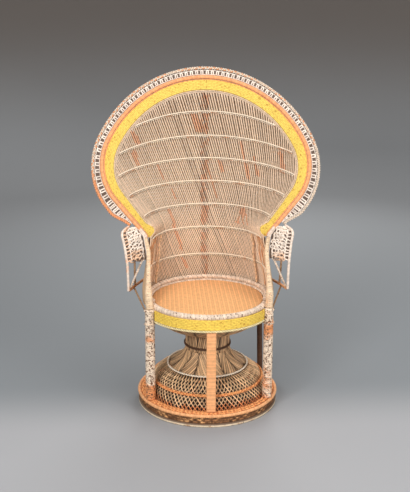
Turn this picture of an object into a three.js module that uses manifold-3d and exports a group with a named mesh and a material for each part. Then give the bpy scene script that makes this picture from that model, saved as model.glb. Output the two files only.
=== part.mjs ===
// Peacock armchair of rattan cane: a drum-shaped seat on an hourglass pedestal, with a fan back.
// X runs across the chair, Y from its open front to its back and Z upwards, in millimetres.

import * as THREE from "three";
import { mergeVertices } from "three/addons/utils/BufferGeometryUtils.js";
import Module from "manifold-3d";

const wasm = await Module();
wasm.setup();

const radians = THREE.MathUtils.degToRad;

// Fit
const clearance = 0.3;
const facetRoom = 1.2;
const cutOverrun = 4;

// Base hoops, each set in from the foot hoop
const footHoopOuterRadius = 291;
const baseBandInset = 7;
const baseTopHoopInset = 4;
const footHoopWidth = 14;
const footHoopHeight = 14;
const footHoopBevel = 4;
const baseBandRadius = footHoopOuterRadius - baseBandInset;
const baseBandThickness = 6;
const baseBandHeight = 27;
const baseTopHoopRadius = footHoopOuterRadius - baseTopHoopInset;
const baseTopHoopTube = 7;
const braidHeight = 15;
const braidBevel = 6;

// Pedestal
const reedWidth = 4.6;
const reedThickness = 4;
const latticeFootInset = 43;
const latticeWaistInset = 24;
const latticeTopInset = 84;
const latticeFootRadius = footHoopOuterRadius - latticeFootInset;
const latticeFootRise = 6;
const latticeWaistRadius = latticeFootRadius - latticeWaistInset;
const latticeWaistHeight = 106;
const latticeTopRadius = latticeFootRadius - latticeTopInset;
const latticeTopHeight = 157;
const latticeLowerBulge = 6;
const latticeUpperBulge = 17;
const pedestalRingTube = 4.5;
const latticeReedCount = 16;
const latticeLayerGap = 2;
const latticeTurnAngle = 21;
const weaveThickness = 8;
const neckRadius = 93;
const neckBottomHeight = 232;
const neckTopHeight = 302;
const skirtHollow = 15;
const skirtRibCount = 16;
const skirtRibDepth = 2.4;
const waistBandShare = 0.243;
const waistBandWidth = 11;
const waistBandThickness = 5;
const bowlRimInset = 3;
const bowlRimStraight = 44;
const bowlHollow = 14;

// Seat
const seatHeight = 460;
const seatForward = 11;
const seatHoopRadius = 239;
const seatHoopTube = 13;
const seatPanelThickness = 12;
const seatPanelCrown = 5;
const seatBarWidth = 32;
const seatBarThickness = 11;
const backRollTube = 9.5;
const backRollInset = 2;
const bowlRimRadius = seatHoopRadius - bowlRimInset;
const apronTopDrop = 18;
const apronHeight = 42;
const apronThickness = 5;
const apronRailTube = 5;

// Legs: their tops hold the seat, and their feet stand on the base
const frontLegReach = 27.1;
const frontLegTurn = 63.92;
const frontLegX = (seatHoopRadius + frontLegReach) * Math.sin(radians(frontLegTurn));
const frontLegForward =
  seatForward + (seatHoopRadius + frontLegReach) * Math.cos(radians(frontLegTurn));
const frontLegFootInset = 19.9;
const frontLegRadius = 20.5;
const frontLegTopRadius = 19.5;
const frontLegTopDrop = 17;
const rearLegFootInset = 23.6;
const rearLegFootTurn = 62.86;
const rearLegTopReach = 20.1;
const rearLegTopTurn = 61.66;
const rearLegRadius = 12;
const centrePostWidth = 38;
const centrePostThickness = 14;
const centrePostReach = 14;
const centrePostFootInset = 27;

// Front outline of the fan: a crown arc, two shoulder arcs, straight flanks and throat arcs
const crownRadius = 401;
const crownCentreRise = 405;
const crownAngle = 63;
const shoulderRadius = 161;
const shoulderAngle = 65;
const flankLength = 184;
const throatRadius = 60;
const throatAngle = 38;

// Depth of the fan's edge and of the shell behind it
const throatDepth = 50;
const crownDepth = 320;
const leanStartRise = 265;
const leanRise = 645;
const leanPower = 1.3;
const shellFootReach = 6.5;
const shellThroatReach = 23;
const shellFootDepth = seatHoopRadius + shellFootReach;
const shellThroatDepth = seatHoopRadius + shellThroatReach;
const shellPower = 2.1;

// Borders of the fan, from the weave outwards
const edgeRodRadius = 2.5;
const beadRadius = 2.8;
const yellowBandWidth = 38;
const yellowBandThroatWidth = 21;
const yellowBandThickness = 8;
const outlineBeadRadius = 2;
const fanPoleRadius = 8;
const loopBandWidth = 20;
const loopBandThickness = 6;
const loopStrandWidth = 4;
const loopCount = 36;
const loopBarShare = 0.42;
const outerRimRadius = 7;
const rimEndLift = 66;
const rimEndTaperLength = 90;
const rimEndNarrowing = 30;

// Canes of the back
const backReedPitch = 72;
const backReedStep = 110;
const reedGrip = 1.2;
const backReedAngle = 19;
const backFanReach = 1650;
const backLayerSpacing = 10.4;
const backLayerSetback = 20;
const backHoopTube = 3;
const backHoopGrip = 4;
const backHoopRoom = 0.6;
const backHoopEndRoom = 3;
const backFootRodHeight = 8;
const edgeTuckLength = 50;
const shortestReed = 60;
const reedStartShare = 1.6;

// Cross hoops of the back, from the seat up: rise of the middle above the seat and droop of the ends
const backHoopRises = [107, 227, 326, 424, 521, 618, 722];
const backHoopDroops = [0, 0, 6, 24, 42, 52, 50];

// Poles that carry the fan
const postFootRadius = 13;
const postRadius = 8;
const postTaperHeight = 110;
const postShinHeight = 55;
const postShinForward = 114;
const postKneeHeight = 115;
const postKneeForward = 66;
const postHipHeight = 196;
const postHipDepth = 8;
const postSpread = 4;
const postX = frontLegX + postSpread;
const sideStayRadius = 5;
const sideStayAngle = 62;
const sideStayLength = 205;
const sideStayRoom = 5.6;

// Arms
const armPoleRadius = 6.5;
const armBulgeX = 347;
const armBulgeRise = 262;
const armBulgeDepth = 14;
const armSideSpread = 99;
const armSideRise = 216;
const armSideForward = 20;
const armFallSpread = 89;
const armFallForward = 45;
const armFallRise = 150;
const armTipSpread = 85;
const armTipRise = 36;
const armTipForward = 52;
const armHoopRadius = 6;
const armHoopBack = 88;
const armHoopClimb = 7;
const armStrutRadius = 4;
const armHoopBow = 3;
const armPanelTopRise = 276;
const armPanelBottomRise = 155;
const armPanelThickness = 7;
const armPanelMargin = 6;
const armPanelCellCount = 7;
const armPanelBarShare = 0.6;
const armPanelSeatShare = 0.8;
const outerStrutShares = [0.3, 0.06];
const innerStrutShares = [0.65, 0.4];
const armBraceShare = 0.32;
const armBraceDrop = 46;

// Fineness of round parts
const ringSegments = 32;
const tubeSides = 6;
const frontLegSides = 10;
const rearLegSides = 8;
const tubeFlatShare = Math.cos(Math.PI / tubeSides);
const hoopSides = 4;
const hoopFlatShare = Math.cos(Math.PI / hoopSides);
const crownSteps = 8;
const shoulderSteps = 7;
const flankSteps = 3;
const throatSteps = 4;
const taperSteps = 5;

// Colours
const cream = 0xecdcc6;
const orangeCane = 0xe0965f;
const yellowPaint = 0xf3ca45;
const tanCane = 0xb7a083;
const darkCane = 0x6b4a33;
const seatCane = 0xe9a660;

const chair = new THREE.Group();
const up = new THREE.Vector3(0, 0, 1);
const backward = new THREE.Vector3(0, 1, 0);
const sides = { left: -1, right: 1 };

// Adds one named piece to the chair.
function addPiece(name, geometry, color, roughness = 0.75) {
  const material = new THREE.MeshStandardMaterial({ color, roughness, metalness: 0 });
  const mesh = new THREE.Mesh(geometry, material);
  mesh.name = name;
  chair.add(mesh);
  return mesh;
}

// Turns the faces of a closed geometry outwards.
function facingOut(geometry) {
  const spots = geometry.getAttribute("position");
  const corners = geometry.index.array;
  const a = new THREE.Vector3();
  const b = new THREE.Vector3();
  const c = new THREE.Vector3();
  let volume = 0;
  for (let i = 0; i < corners.length; i += 3) {
    a.fromBufferAttribute(spots, corners[i]);
    b.fromBufferAttribute(spots, corners[i + 1]);
    c.fromBufferAttribute(spots, corners[i + 2]);
    volume += a.dot(b.cross(c));
  }
  if (volume < 0) {
    for (let i = 0; i < corners.length; i += 3) {
      [corners[i + 1], corners[i + 2]] = [corners[i + 2], corners[i + 1]];
    }
  }
  return geometry;
}

// Makes a geometry of shared points and triangles.
function geometryOf(points, triangles) {
  const geometry = new THREE.BufferGeometry().setFromPoints(points);
  geometry.setIndex(new THREE.BufferAttribute(new Uint32Array(triangles.flat()), 1));
  return facingOut(geometry);
}

// Keeps only the positions of a stock geometry and joins the points that coincide.
function plain(geometry) {
  geometry.deleteAttribute("normal");
  geometry.deleteAttribute("uv");
  return facingOut(mergeVertices(geometry));
}

// Closed geometry to solid and back, for cuts and joins.
function solidOf(geometry) {
  const vertProperties = new Float32Array(geometry.getAttribute("position").array);
  const triVerts = new Uint32Array(geometry.index.array);
  return new wasm.Manifold(new wasm.Mesh({ numProp: 3, vertProperties, triVerts }));
}

function geometryFrom(solid) {
  const { vertProperties, triVerts } = solid.getMesh();
  const geometry = new THREE.BufferGeometry();
  geometry.setAttribute("position", new THREE.BufferAttribute(vertProperties, 3));
  geometry.setIndex(new THREE.BufferAttribute(triVerts, 1));
  return geometry;
}

// Joins touching geometries into one body.
function joined(geometries) {
  const solids = geometries.map(solidOf);
  return geometryFrom(solids.reduce((sum, next) => sum.add(next)));
}

function cut(geometry, ...tools) {
  return geometryFrom(tools.reduce((rest, tool) => rest.subtract(solidOf(tool)), solidOf(geometry)));
}

// Skins a row of equal rings of points and closes both ends.
function loft(rings) {
  const count = rings[0].length;
  const last = (rings.length - 1) * count;
  const triangles = [];
  for (let i = 0; i < last; i += count) {
    for (let j = 0; j < count; j++) {
      const k = (j + 1) % count;
      triangles.push([i + j, i + k, i + count + k], [i + j, i + count + k, i + count + j]);
    }
  }
  for (let j = 1; j < count - 1; j++) {
    triangles.push([0, j + 1, j], [last, last + j, last + j + 1]);
  }
  return geometryOf(rings.flat(), triangles);
}

const circleSection = (radius, count = tubeSides) =>
  Array.from({ length: count }, (_, i) => {
    const angle = ((i + 0.5) / count) * 2 * Math.PI;
    return [radius * Math.cos(angle), radius * Math.sin(angle)];
  });

const flatSection = (width, thickness) => [
  [-width / 2, -thickness / 2],
  [width / 2, -thickness / 2],
  [width / 2, thickness / 2],
  [-width / 2, thickness / 2],
];

// Sweeps a section along a path; sectionAt gives it for each share of the path, and faceAt its up side.
function sweep(path, sectionAt, faceAt) {
  const rings = path.map((point, i) => {
    const ahead = path[Math.min(i + 1, path.length - 1)];
    const behind = path[Math.max(i - 1, 0)];
    const along = ahead.clone().sub(behind).normalize();
    const across = along.clone().cross(faceAt(i)).normalize();
    const lift = across.clone().cross(along);
    return sectionAt(i / (path.length - 1)).map(([a, b]) =>
      point.clone().addScaledVector(across, a).addScaledVector(lift, b),
    );
  });
  return loft(rings);
}

const rod = (path, radius, face = up, count = tubeSides) =>
  sweep(path, () => circleSection(radius, count), () => face);

const stations = (count, placeAt) => Array.from({ length: count + 1 }, (_, i) => placeAt(i / count));

// Turns a closed profile of radius and height about the vertical axis.
function revolve(profile, segments = ringSegments) {
  const outline = [...profile, profile[0]].map(([r, z]) => new THREE.Vector2(r, z));
  return plain(new THREE.LatheGeometry(outline, segments).rotateX(Math.PI / 2));
}

function ring(radius, tube, height, segments = ringSegments) {
  const torus = new THREE.TorusGeometry(radius, tube, tubeSides, segments);
  return plain(torus.translate(0, 0, height));
}

// Base: a foot hoop, a woven band, a top hoop and the braided rim that the legs stand on
const baseBandBottom = footHoopHeight + clearance;
const baseBandTop = baseBandBottom + baseBandHeight;
const baseTopHoopHeight = baseBandTop + clearance + baseTopHoopTube;
const braidOuterRadius = baseTopHoopRadius - baseTopHoopTube - clearance;
const braidBottom = baseBandTop + clearance;
const braidTop = braidBottom + braidHeight;

function addBase() {
  const inner = footHoopOuterRadius - footHoopWidth;
  const shoulder = footHoopOuterRadius - footHoopBevel;
  const footHoop = revolve([
    [inner, 0],
    [shoulder, 0],
    [footHoopOuterRadius, footHoopBevel],
    [footHoopOuterRadius, footHoopHeight - footHoopBevel],
    [shoulder, footHoopHeight],
    [inner, footHoopHeight],
  ]);
  addPiece("base_foot_hoop", footHoop, cream);
  const band = revolve([
    [baseBandRadius - baseBandThickness, baseBandBottom],
    [baseBandRadius, baseBandBottom],
    [baseBandRadius, baseBandTop],
    [baseBandRadius - baseBandThickness, baseBandTop],
  ]);
  addPiece("base_band", band, darkCane, 0.85);
  const topHoop = ring(baseTopHoopRadius, baseTopHoopTube, baseTopHoopHeight);
  addPiece("base_top_hoop", topHoop, orangeCane);
  const braidInnerRadius = latticeFootRadius + reedThickness / 2 + clearance;
  const braid = revolve([
    [braidInnerRadius, braidBottom],
    [braidOuterRadius, braidBottom],
    [braidOuterRadius, braidTop - braidBevel],
    [braidOuterRadius - braidBevel, braidTop],
    [braidInnerRadius + braidBevel, braidTop],
    [braidInnerRadius, braidTop - braidBevel],
  ]);
  addPiece("base_braid", braid, orangeCane);
}

// Pedestal: two crossing layers of leaning canes, tied by rings, run up into a pleated skirt
const latticeFootHeight = braidBottom + latticeFootRise;
const latticeRise = latticeTopHeight - latticeFootHeight;
const waistShare = (latticeWaistHeight - latticeFootHeight) / latticeRise;

// Radius and slope of the lattice below or above its waist, at a share of its rise.
function latticeLine(share, above) {
  const height = latticeFootHeight + share * latticeRise;
  const foot = above ? latticeWaistHeight : latticeFootHeight;
  const top = above ? latticeTopHeight : latticeWaistHeight;
  const from = above ? latticeWaistRadius : latticeFootRadius;
  const to = above ? latticeTopRadius : latticeWaistRadius;
  const bulge = above ? latticeUpperBulge : latticeLowerBulge;
  const step = (height - foot) / (top - foot);
  const radius = from + (to - from) * step + bulge * Math.sin(Math.PI * step);
  const slope = (to - from + bulge * Math.PI * Math.cos(Math.PI * step)) / (top - foot);
  return { radius, height, slope };
}

// A spot of the lattice as radius and height, set off square to its surface.
function latticeSpot(share, offset) {
  const above = share > waistShare;
  const { radius, height, slope } = latticeLine(share, above);
  const atWaist = share === waistShare;
  const lean = atWaist ? (slope + latticeLine(share, true).slope) / 2 : slope;
  const reach = Math.hypot(1, lean);
  return [radius + offset / reach, height - (offset * lean) / reach];
}

function latticeLayer(inset, lean) {
  const rimInset = inset > 0 ? reedThickness + 3 * clearance : 0;
  const rimOuter = latticeFootRadius + reedThickness / 2 - rimInset;
  const rimInner = latticeFootRadius - inset - reedThickness / 2;
  const footRing = revolve([
    [rimInner, latticeFootHeight - reedWidth / 2],
    [rimOuter, latticeFootHeight - reedWidth / 2],
    [rimOuter, latticeFootHeight + reedWidth / 2],
    [rimInner, latticeFootHeight + reedWidth / 2],
  ]);
  const shares = [0, waistShare / 2, waistShare, (1 + waistShare) / 2, 1];
  const reeds = Array.from({ length: latticeReedCount }, (_, i) => {
    const turn = (i / latticeReedCount) * 2 * Math.PI;
    const path = shares.map((share) => {
      const [radius, height] = latticeSpot(share, -inset);
      const angle = turn + lean * share * radians(latticeTurnAngle);
      return new THREE.Vector3(radius * Math.cos(angle), radius * Math.sin(angle), height);
    });
    const faces = path.map(({ x, y }) => new THREE.Vector3(x, y, 0).normalize());
    return sweep(path, () => flatSection(reedWidth, reedThickness), (k) => faces[k]);
  });
  return joined([footRing, ...reeds]);
}

// A surface of revolution with soft vertical ribs.
function ribbedShell(profile, ribCount, ribDepth) {
  const count = ribCount * 2;
  const rings = stations(count - 1, (share) => {
    const angle = share * ((count - 1) / count) * 2 * Math.PI;
    const swell = Math.round(share * (count - 1)) % 2 === 0 ? ribDepth : 0;
    return profile.map(([r, z, ribShare]) => {
      const radius = r + swell * ribShare;
      return new THREE.Vector3(radius * Math.cos(angle), radius * Math.sin(angle), z);
    });
  });
  const size = profile.length;
  const triangles = [];
  for (let i = 0; i < count; i++) {
    const next = (i + 1) % count;
    for (let j = 0; j < size; j++) {
      const k = (j + 1) % size;
      const a = i * size + j;
      const b = i * size + k;
      const c = next * size + k;
      const d = next * size + j;
      triangles.push([a, b, c], [a, c, d]);
    }
  }
  return geometryOf(rings.flat(), triangles);
}

// A wall profile between two heights whose outer line sags inwards like a flare.
function flareProfile(r0, z0, r1, z1, hollow, ribShares) {
  const outer = stations(3, (share) => {
    const sag = hollow * Math.sin(Math.PI * share);
    const rib = ribShares[0] + (ribShares[1] - ribShares[0]) * share;
    return [r0 + (r1 - r0) * share - sag, z0 + (z1 - z0) * share, rib];
  });
  const inner = outer.map(([r, z]) => [r - weaveThickness, z, 0]).reverse();
  return [...outer, ...inner];
}

function addPedestal() {
  const layerInset = reedThickness + latticeLayerGap;
  addPiece("pedestal_outer_lattice", latticeLayer(0, -1), tanCane);
  addPiece("pedestal_inner_lattice", latticeLayer(layerInset, 1), tanCane);
  const ringSeat = reedThickness / 2 + clearance + pedestalRingTube;
  const [lowerRadius, lowerHeight] = latticeSpot(waistShare, ringSeat + clearance);
  addPiece("pedestal_lower_ring", ring(lowerRadius, pedestalRingTube, lowerHeight), orangeCane);
  const [upperRadius, upperHeight] = latticeSpot(1, ringSeat + facetRoom);
  addPiece("pedestal_upper_ring", ring(upperRadius, pedestalRingTube, upperHeight), cream);
  const skirtFoot = upperRadius - pedestalRingTube - clearance;
  const skirtTop = neckBottomHeight - clearance;
  const skirt = flareProfile(skirtFoot, upperHeight, neckRadius, skirtTop, skirtHollow, [0, 1]);
  addPiece("pedestal_skirt", ribbedShell(skirt, skirtRibCount, skirtRibDepth), tanCane);
  const neckInner = neckRadius - weaveThickness;
  const neck = revolve([
    [neckInner, neckBottomHeight],
    [neckRadius, neckBottomHeight],
    [neckRadius, neckTopHeight],
    [neckInner, neckTopHeight],
  ]);
  addPiece("pedestal_neck", neck, tanCane);
  const bandInner = neckRadius + clearance;
  const bandRoom = neckTopHeight - neckBottomHeight - waistBandWidth - 2 * clearance;
  const bandBottom = neckBottomHeight + clearance + bandRoom * waistBandShare;
  const band = revolve([
    [bandInner, bandBottom],
    [bandInner + waistBandThickness, bandBottom],
    [bandInner + waistBandThickness, bandBottom + waistBandWidth],
    [bandInner, bandBottom + waistBandWidth],
  ]);
  addPiece("pedestal_waist_band", band, darkCane, 0.9);
  addPiece("seat_bowl", seatBowl(), tanCane);
}

// The bowl flares from the neck to a straight rim under the seat hoop.
function seatBowl() {
  const rimTop = seatHeight - 2 * seatHoopTube - clearance;
  const rimBottom = rimTop - bowlRimStraight;
  const foot = neckTopHeight + clearance;
  const flare = flareProfile(neckRadius, foot, bowlRimRadius, rimBottom, -bowlHollow, [1, 0]);
  const half = flare.length / 2;
  const rim = [
    [bowlRimRadius, rimTop, 0],
    [bowlRimRadius - weaveThickness, rimTop, 0],
  ];
  const profile = [...flare.slice(0, half), ...rim, ...flare.slice(half)];
  return ribbedShell(profile, skirtRibCount, skirtRibDepth);
}

// Legs and centre post stand on the braided rim
const legFootHeight = braidTop + clearance;
const frontLegTop = seatHeight - frontLegTopDrop;
const seatHoopHeight = seatHeight - seatHoopTube;

// A leg whose level sections are the same shape from its foot to its top
function leg(foot, top, footSection, topSection) {
  const level = ({ x, y, z }, section) => section.map(([a, b]) => new THREE.Vector3(x + a, y + b, z));
  return loft([level(foot, footSection), level(top, topSection)]);
}

function frontLeg(side, gap = 0) {
  const ringShare = (footHoopOuterRadius - frontLegFootInset) / Math.hypot(frontLegX, frontLegForward);
  const foot = new THREE.Vector3(side * frontLegX, -frontLegForward, 0).multiplyScalar(ringShare);
  foot.z = legFootHeight;
  const top = new THREE.Vector3(side * frontLegX, -frontLegForward, frontLegTop);
  const footSection = circleSection(frontLegRadius + gap, frontLegSides);
  return leg(foot, top, footSection, circleSection(frontLegTopRadius + gap, frontLegSides));
}

function seatHoop(gap = 0) {
  return ring(seatHoopRadius, seatHoopTube + gap, seatHoopHeight).translate(0, -seatForward, 0);
}

function rearLeg(side) {
  const reach = footHoopOuterRadius - rearLegFootInset;
  const turn = radians(rearLegFootTurn);
  const foot = new THREE.Vector3(side * reach * Math.sin(turn), reach * Math.cos(turn), legFootHeight);
  const topReach = seatHoopRadius + rearLegTopReach;
  const topTurn = radians(rearLegTopTurn);
  const topBack = topReach * Math.cos(topTurn) - seatForward;
  const top = new THREE.Vector3(side * topReach * Math.sin(topTurn), topBack, frontLegTop - clearance);
  const section = circleSection(rearLegRadius, rearLegSides);
  return cut(leg(foot, top, section, section), seatHoop(clearance));
}

function addLegs() {
  for (const [name, side] of Object.entries(sides)) {
    addPiece(`front_leg_${name}`, frontLeg(side), cream);
    addPiece(`rear_leg_${name}`, rearLeg(side), tanCane);
  }
  const foot = new THREE.Vector3(0, centrePostFootInset - footHoopOuterRadius, legFootHeight);
  const top = new THREE.Vector3(0, -seatForward - seatHoopRadius - centrePostReach, apronRailHeight - apronRailTube - clearance);
  const section = flatSection(centrePostWidth, centrePostThickness);
  addPiece("centre_post", leg(foot, top, section, section), orangeCane);
}

// Seat: a woven panel on two halved bars inside a wrapped hoop
const panelRadius = seatHoopRadius - seatHoopTube - clearance;
const apronTop = seatHeight - apronTopDrop;
const apronBottom = apronTop - apronHeight;
const apronRailHeight = apronBottom - clearance - apronRailTube;

function seatBar(length, width, lowHalf) {
  const top = seatHeight - seatPanelThickness - clearance;
  const bar = new THREE.BoxGeometry(length, width, seatBarThickness);
  bar.translate(0, -seatForward, top - seatBarThickness / 2);
  const gap = seatBarWidth + 2 * clearance;
  const notchHeight = seatBarThickness / 2 + cutOverrun;
  const notch = new THREE.BoxGeometry(gap, gap, notchHeight);
  const middle = top - seatBarThickness / 2;
  const lift = notchHeight / 2 - clearance / 2;
  notch.translate(0, -seatForward, lowHalf ? middle + lift : middle - lift);
  return cut(plain(bar), plain(notch));
}

const rollHeight = seatHoopHeight + seatHoopTube * tubeFlatShare + clearance + backRollTube;

// A point on a level circle about the seat's centre; angle 0 is the front.
function aroundSeat(radius, angle, height) {
  return new THREE.Vector3(radius * Math.sin(angle), -seatForward - radius * Math.cos(angle), height);
}

function addSeat() {
  const postsAndLegs = [-1, 1].flatMap((side) => [
    frontLeg(side, clearance),
    frontPost(side, clearance),
  ]);
  addPiece("seat_hoop", cut(seatHoop(), ...postsAndLegs), cream);
  const bottom = seatHeight - seatPanelThickness;
  const crownFoot = seatHeight - seatPanelCrown;
  const panelProfile = [
    new THREE.Vector2(0, bottom),
    new THREE.Vector2(panelRadius, bottom),
    new THREE.Vector2(panelRadius, crownFoot),
    new THREE.Vector2(panelRadius - 2 * seatPanelCrown, seatHeight - seatPanelCrown / 2),
    new THREE.Vector2(panelRadius / 2, seatHeight),
    new THREE.Vector2(0, seatHeight),
  ];
  const panel = new THREE.LatheGeometry(panelProfile, ringSegments).rotateX(Math.PI / 2);
  addPiece("seat_panel", plain(panel.translate(0, -seatForward, 0)), seatCane);
  const reach = 2 * (panelRadius - seatBarWidth / 2);
  addPiece("seat_bar_across", seatBar(reach, seatBarWidth, true), tanCane);
  addPiece("seat_bar_along", seatBar(seatBarWidth, reach, false), tanCane);

  const rollRadius = seatHoopRadius + backRollInset;
  const rollEnd = legAngle + (postFootRadius + backRollTube) / rollRadius;
  const roll = stations(24, (share) => {
    const angle = rollEnd + share * 2 * (Math.PI - rollEnd);
    return aroundSeat(rollRadius, angle, rollHeight);
  });
  addPiece("seat_back_roll", rod(roll, backRollTube), cream);

  const apronRadius = seatHoopRadius + seatHoopTube + clearance + apronThickness / 2;
  const apronEnd = legAngle - (frontLegRadius + 2 * clearance) / apronRadius;
  const along = (radius, height) =>
    stations(18, (share) => aroundSeat(radius, (2 * share - 1) * apronEnd, height));
  const band = sweep(
    along(apronRadius, (apronTop + apronBottom) / 2),
    () => flatSection(apronThickness, apronHeight),
    () => up,
  );
  addPiece("apron_band", band, yellowPaint);
  addPiece("apron_rail", rod(along(apronRadius, apronRailHeight), apronRailTube), yellowPaint);
}

// Angle from the front at which the front legs stand, seen from the seat's centre
const legAngle = Math.atan2(frontLegX, frontLegForward - seatForward);

// Fan: a point of its outline in front view, at a distance along it from the top and an offset outwards
const crownLength = crownRadius * radians(crownAngle);
const shoulderLength = shoulderRadius * radians(shoulderAngle);
const flankStart = crownLength + shoulderLength;
const flankEnd = flankStart + flankLength;
const throatEnd = flankEnd + throatRadius * radians(throatAngle);

function outlinePoint(distance, offset) {
  const crownCentre = new THREE.Vector2(0, seatHeight + crownCentreRise);
  const facing = (angle) => new THREE.Vector2(Math.sin(angle), Math.cos(angle));
  if (distance <= crownLength) {
    const out = facing(distance / crownRadius);
    return crownCentre.addScaledVector(out, crownRadius + offset);
  }
  const turn = radians(crownAngle);
  const shoulderCentre = crownCentre.addScaledVector(facing(turn), crownRadius - shoulderRadius);
  if (distance <= flankStart) {
    const out = facing(turn + (distance - crownLength) / shoulderRadius);
    return shoulderCentre.addScaledVector(out, shoulderRadius + offset);
  }
  const slope = radians(crownAngle + shoulderAngle);
  const out = facing(slope);
  const down = new THREE.Vector2(out.y, -out.x);
  const reach = Math.min(distance - flankStart, flankLength);
  const flank = shoulderCentre.addScaledVector(out, shoulderRadius).addScaledVector(down, reach);
  if (distance <= flankEnd) {
    return flank.addScaledVector(out, offset);
  }
  const throatCentre = flank.addScaledVector(out, throatRadius);
  const inward = facing(slope - (distance - flankEnd) / throatRadius);
  return throatCentre.addScaledVector(inward, offset - throatRadius);
}

// The fan leans back on a surface whose depth depends on height alone.
const leanStartHeight = seatHeight + leanStartRise;
const leanShare = (height) => Math.max(0, (height - leanStartHeight) / leanRise);
const fanDepth = (height) =>
  throatDepth + (crownDepth - throatDepth) * leanShare(height) ** leanPower;

function fanNormal(height) {
  const slope = (crownDepth - throatDepth) * leanPower * leanShare(height) ** (leanPower - 1);
  return new THREE.Vector3(0, leanRise, -slope).normalize();
}

// A point of the fan in space; the left half has negative distances.
function fanPoint(distance, offset) {
  const { x, y: height } = outlinePoint(Math.abs(distance), offset);
  return new THREE.Vector3(Math.sign(distance) * x, fanDepth(height), height);
}

const smooth = (from, to, value) => THREE.MathUtils.smoothstep(value, from, to);

// How far the weave's edge moves out where the yellow band ends in a drop at the throat
const bandStart = 2 * (edgeRodRadius + beadRadius) - edgeRodRadius + clearance;
const bandWidthAt = (distance) =>
  THREE.MathUtils.lerp(yellowBandWidth, yellowBandThroatWidth, smooth(crownLength, flankEnd, distance));
const dropAt = (distance) => {
  const share = Math.max(0, (distance - flankEnd) / (throatEnd - flankEnd));
  return yellowBandThroatWidth * (1 - Math.cos((Math.min(1, share) * Math.PI) / 2));
};

// Offsets of the border's pieces from the weave's edge
const edgeOffset = (distance) => -edgeRodRadius - 2 * clearance + dropAt(distance);
const beadOffset = (distance) => beadRadius + dropAt(distance);
const yellowInner = (distance) => 2 * beadRadius + 2 * clearance + dropAt(distance);
const yellowOuter = (distance) => 2 * beadRadius + clearance + bandWidthAt(distance);
const outlineBeadOffset = (distance) => yellowOuter(distance) + clearance + outlineBeadRadius;
const poleOffset = (distance) =>
  outlineBeadOffset(distance) + outlineBeadRadius + clearance + fanPoleRadius;
const loopInner = (distance) => poleOffset(distance) + fanPoleRadius + clearance;
const rimEnd = flankEnd - rimEndLift;
const loopOuter = (distance) => {
  const atCrown = loopInner(0) + loopBandWidth;
  return atCrown - rimEndNarrowing * smooth(rimEnd - rimEndTaperLength, rimEnd, distance);
};
const rimOffset = (distance) => loopOuter(distance) + clearance + outerRimRadius;

// Distances along the outline at which the border's pieces have their sections
const bandEnd = throatEnd - yellowBandThickness / 2;

function archStations(end, extra = []) {
  const spans = [
    [0, crownLength, crownSteps],
    [crownLength, flankStart, shoulderSteps],
    [flankStart, flankEnd, flankSteps],
    [flankEnd, throatEnd, throatSteps],
  ];
  const marks = spans.flatMap(([from, to, steps]) =>
    stations(steps, (share) => THREE.MathUtils.lerp(from, to, share)).slice(1),
  );
  const half = [...marks, ...extra, bandEnd].filter((mark) => mark < end - beadRadius).concat(end);
  half.sort((a, b) => a - b);
  return [...half.map((mark) => -mark).reverse(), 0, ...half];
}

const archRod = (marks, offsetAt, radius, count = tubeSides) => {
  const path = marks.map((distance) => fanPoint(distance, offsetAt(Math.abs(distance))));
  return sweep(path, () => circleSection(radius, count), (i) => fanNormal(path[i].z));
};

// A strip between two edges, solid or with a row of openings, given by stations across it.
function openStrip(rows, thickness, normals, isOpen) {
  const points = rows.flatMap((row, i) => [
    ...row.map((point) => point.clone().addScaledVector(normals[i], thickness / 2)),
    ...row.map((point) => point.clone().addScaledVector(normals[i], -thickness / 2)),
  ]);
  const top = (i, k) => i * 8 + k;
  const bottom = (i, k) => i * 8 + 4 + k;
  const triangles = [];
  const quad = (a, b, c, d) => triangles.push([a, b, c], [a, c, d]);
  const endWall = (i, k, ahead) => {
    const [b, d] = [bottom(i, k), top(i, k + 1)];
    if (ahead) quad(top(i, k), b, bottom(i, k + 1), d);
    else quad(top(i, k), d, bottom(i, k + 1), b);
  };
  const sideWall = (i, k, outward) => {
    if (outward) quad(top(i, k), top(i + 1, k), bottom(i + 1, k), bottom(i, k));
    else quad(top(i, k), bottom(i, k), bottom(i + 1, k), top(i + 1, k));
  };
  for (let i = 0; i < rows.length - 1; i++) {
    for (let k = 0; k < 3; k++) {
      if (k === 1 && isOpen(i)) continue;
      quad(top(i, k), top(i + 1, k), top(i + 1, k + 1), top(i, k + 1));
      quad(bottom(i, k), bottom(i, k + 1), bottom(i + 1, k + 1), bottom(i + 1, k));
    }
    sideWall(i, 0, false);
    sideWall(i, 3, true);
    if (isOpen(i)) {
      sideWall(i, 1, true);
      sideWall(i, 2, false);
      endWall(i, 1, true);
      endWall(i + 1, 1, false);
    }
  }
  for (let k = 0; k < 3; k++) {
    endWall(0, k, false);
    endWall(rows.length - 1, k, true);
  }
  return geometryOf(points, triangles);
}

// Shares of a length at which bars and openings alternate, with a bar at both ends.
function barStations(cellCount, barShare) {
  const shares = [0];
  for (let i = 0; i < cellCount; i++) {
    shares.push((i + barShare) / (cellCount + barShare), (i + 1) / (cellCount + barShare));
  }
  shares.push(1);
  return shares;
}

function loopBand() {
  const shares = barStations(loopCount, loopBarShare);
  const rows = shares.map((share) => {
    const distance = (2 * share - 1) * rimEnd;
    const far = Math.abs(distance);
    const offsets = [
      loopInner(far),
      loopInner(far) + loopStrandWidth,
      loopOuter(far) - loopStrandWidth,
      loopOuter(far),
    ];
    return offsets.map((offset) => fanPoint(distance, offset));
  });
  const normals = rows.map((row) => fanNormal(row[0].z));
  return openStrip(rows, loopBandThickness, normals, (i) => i % 2 === 1);
}

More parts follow.
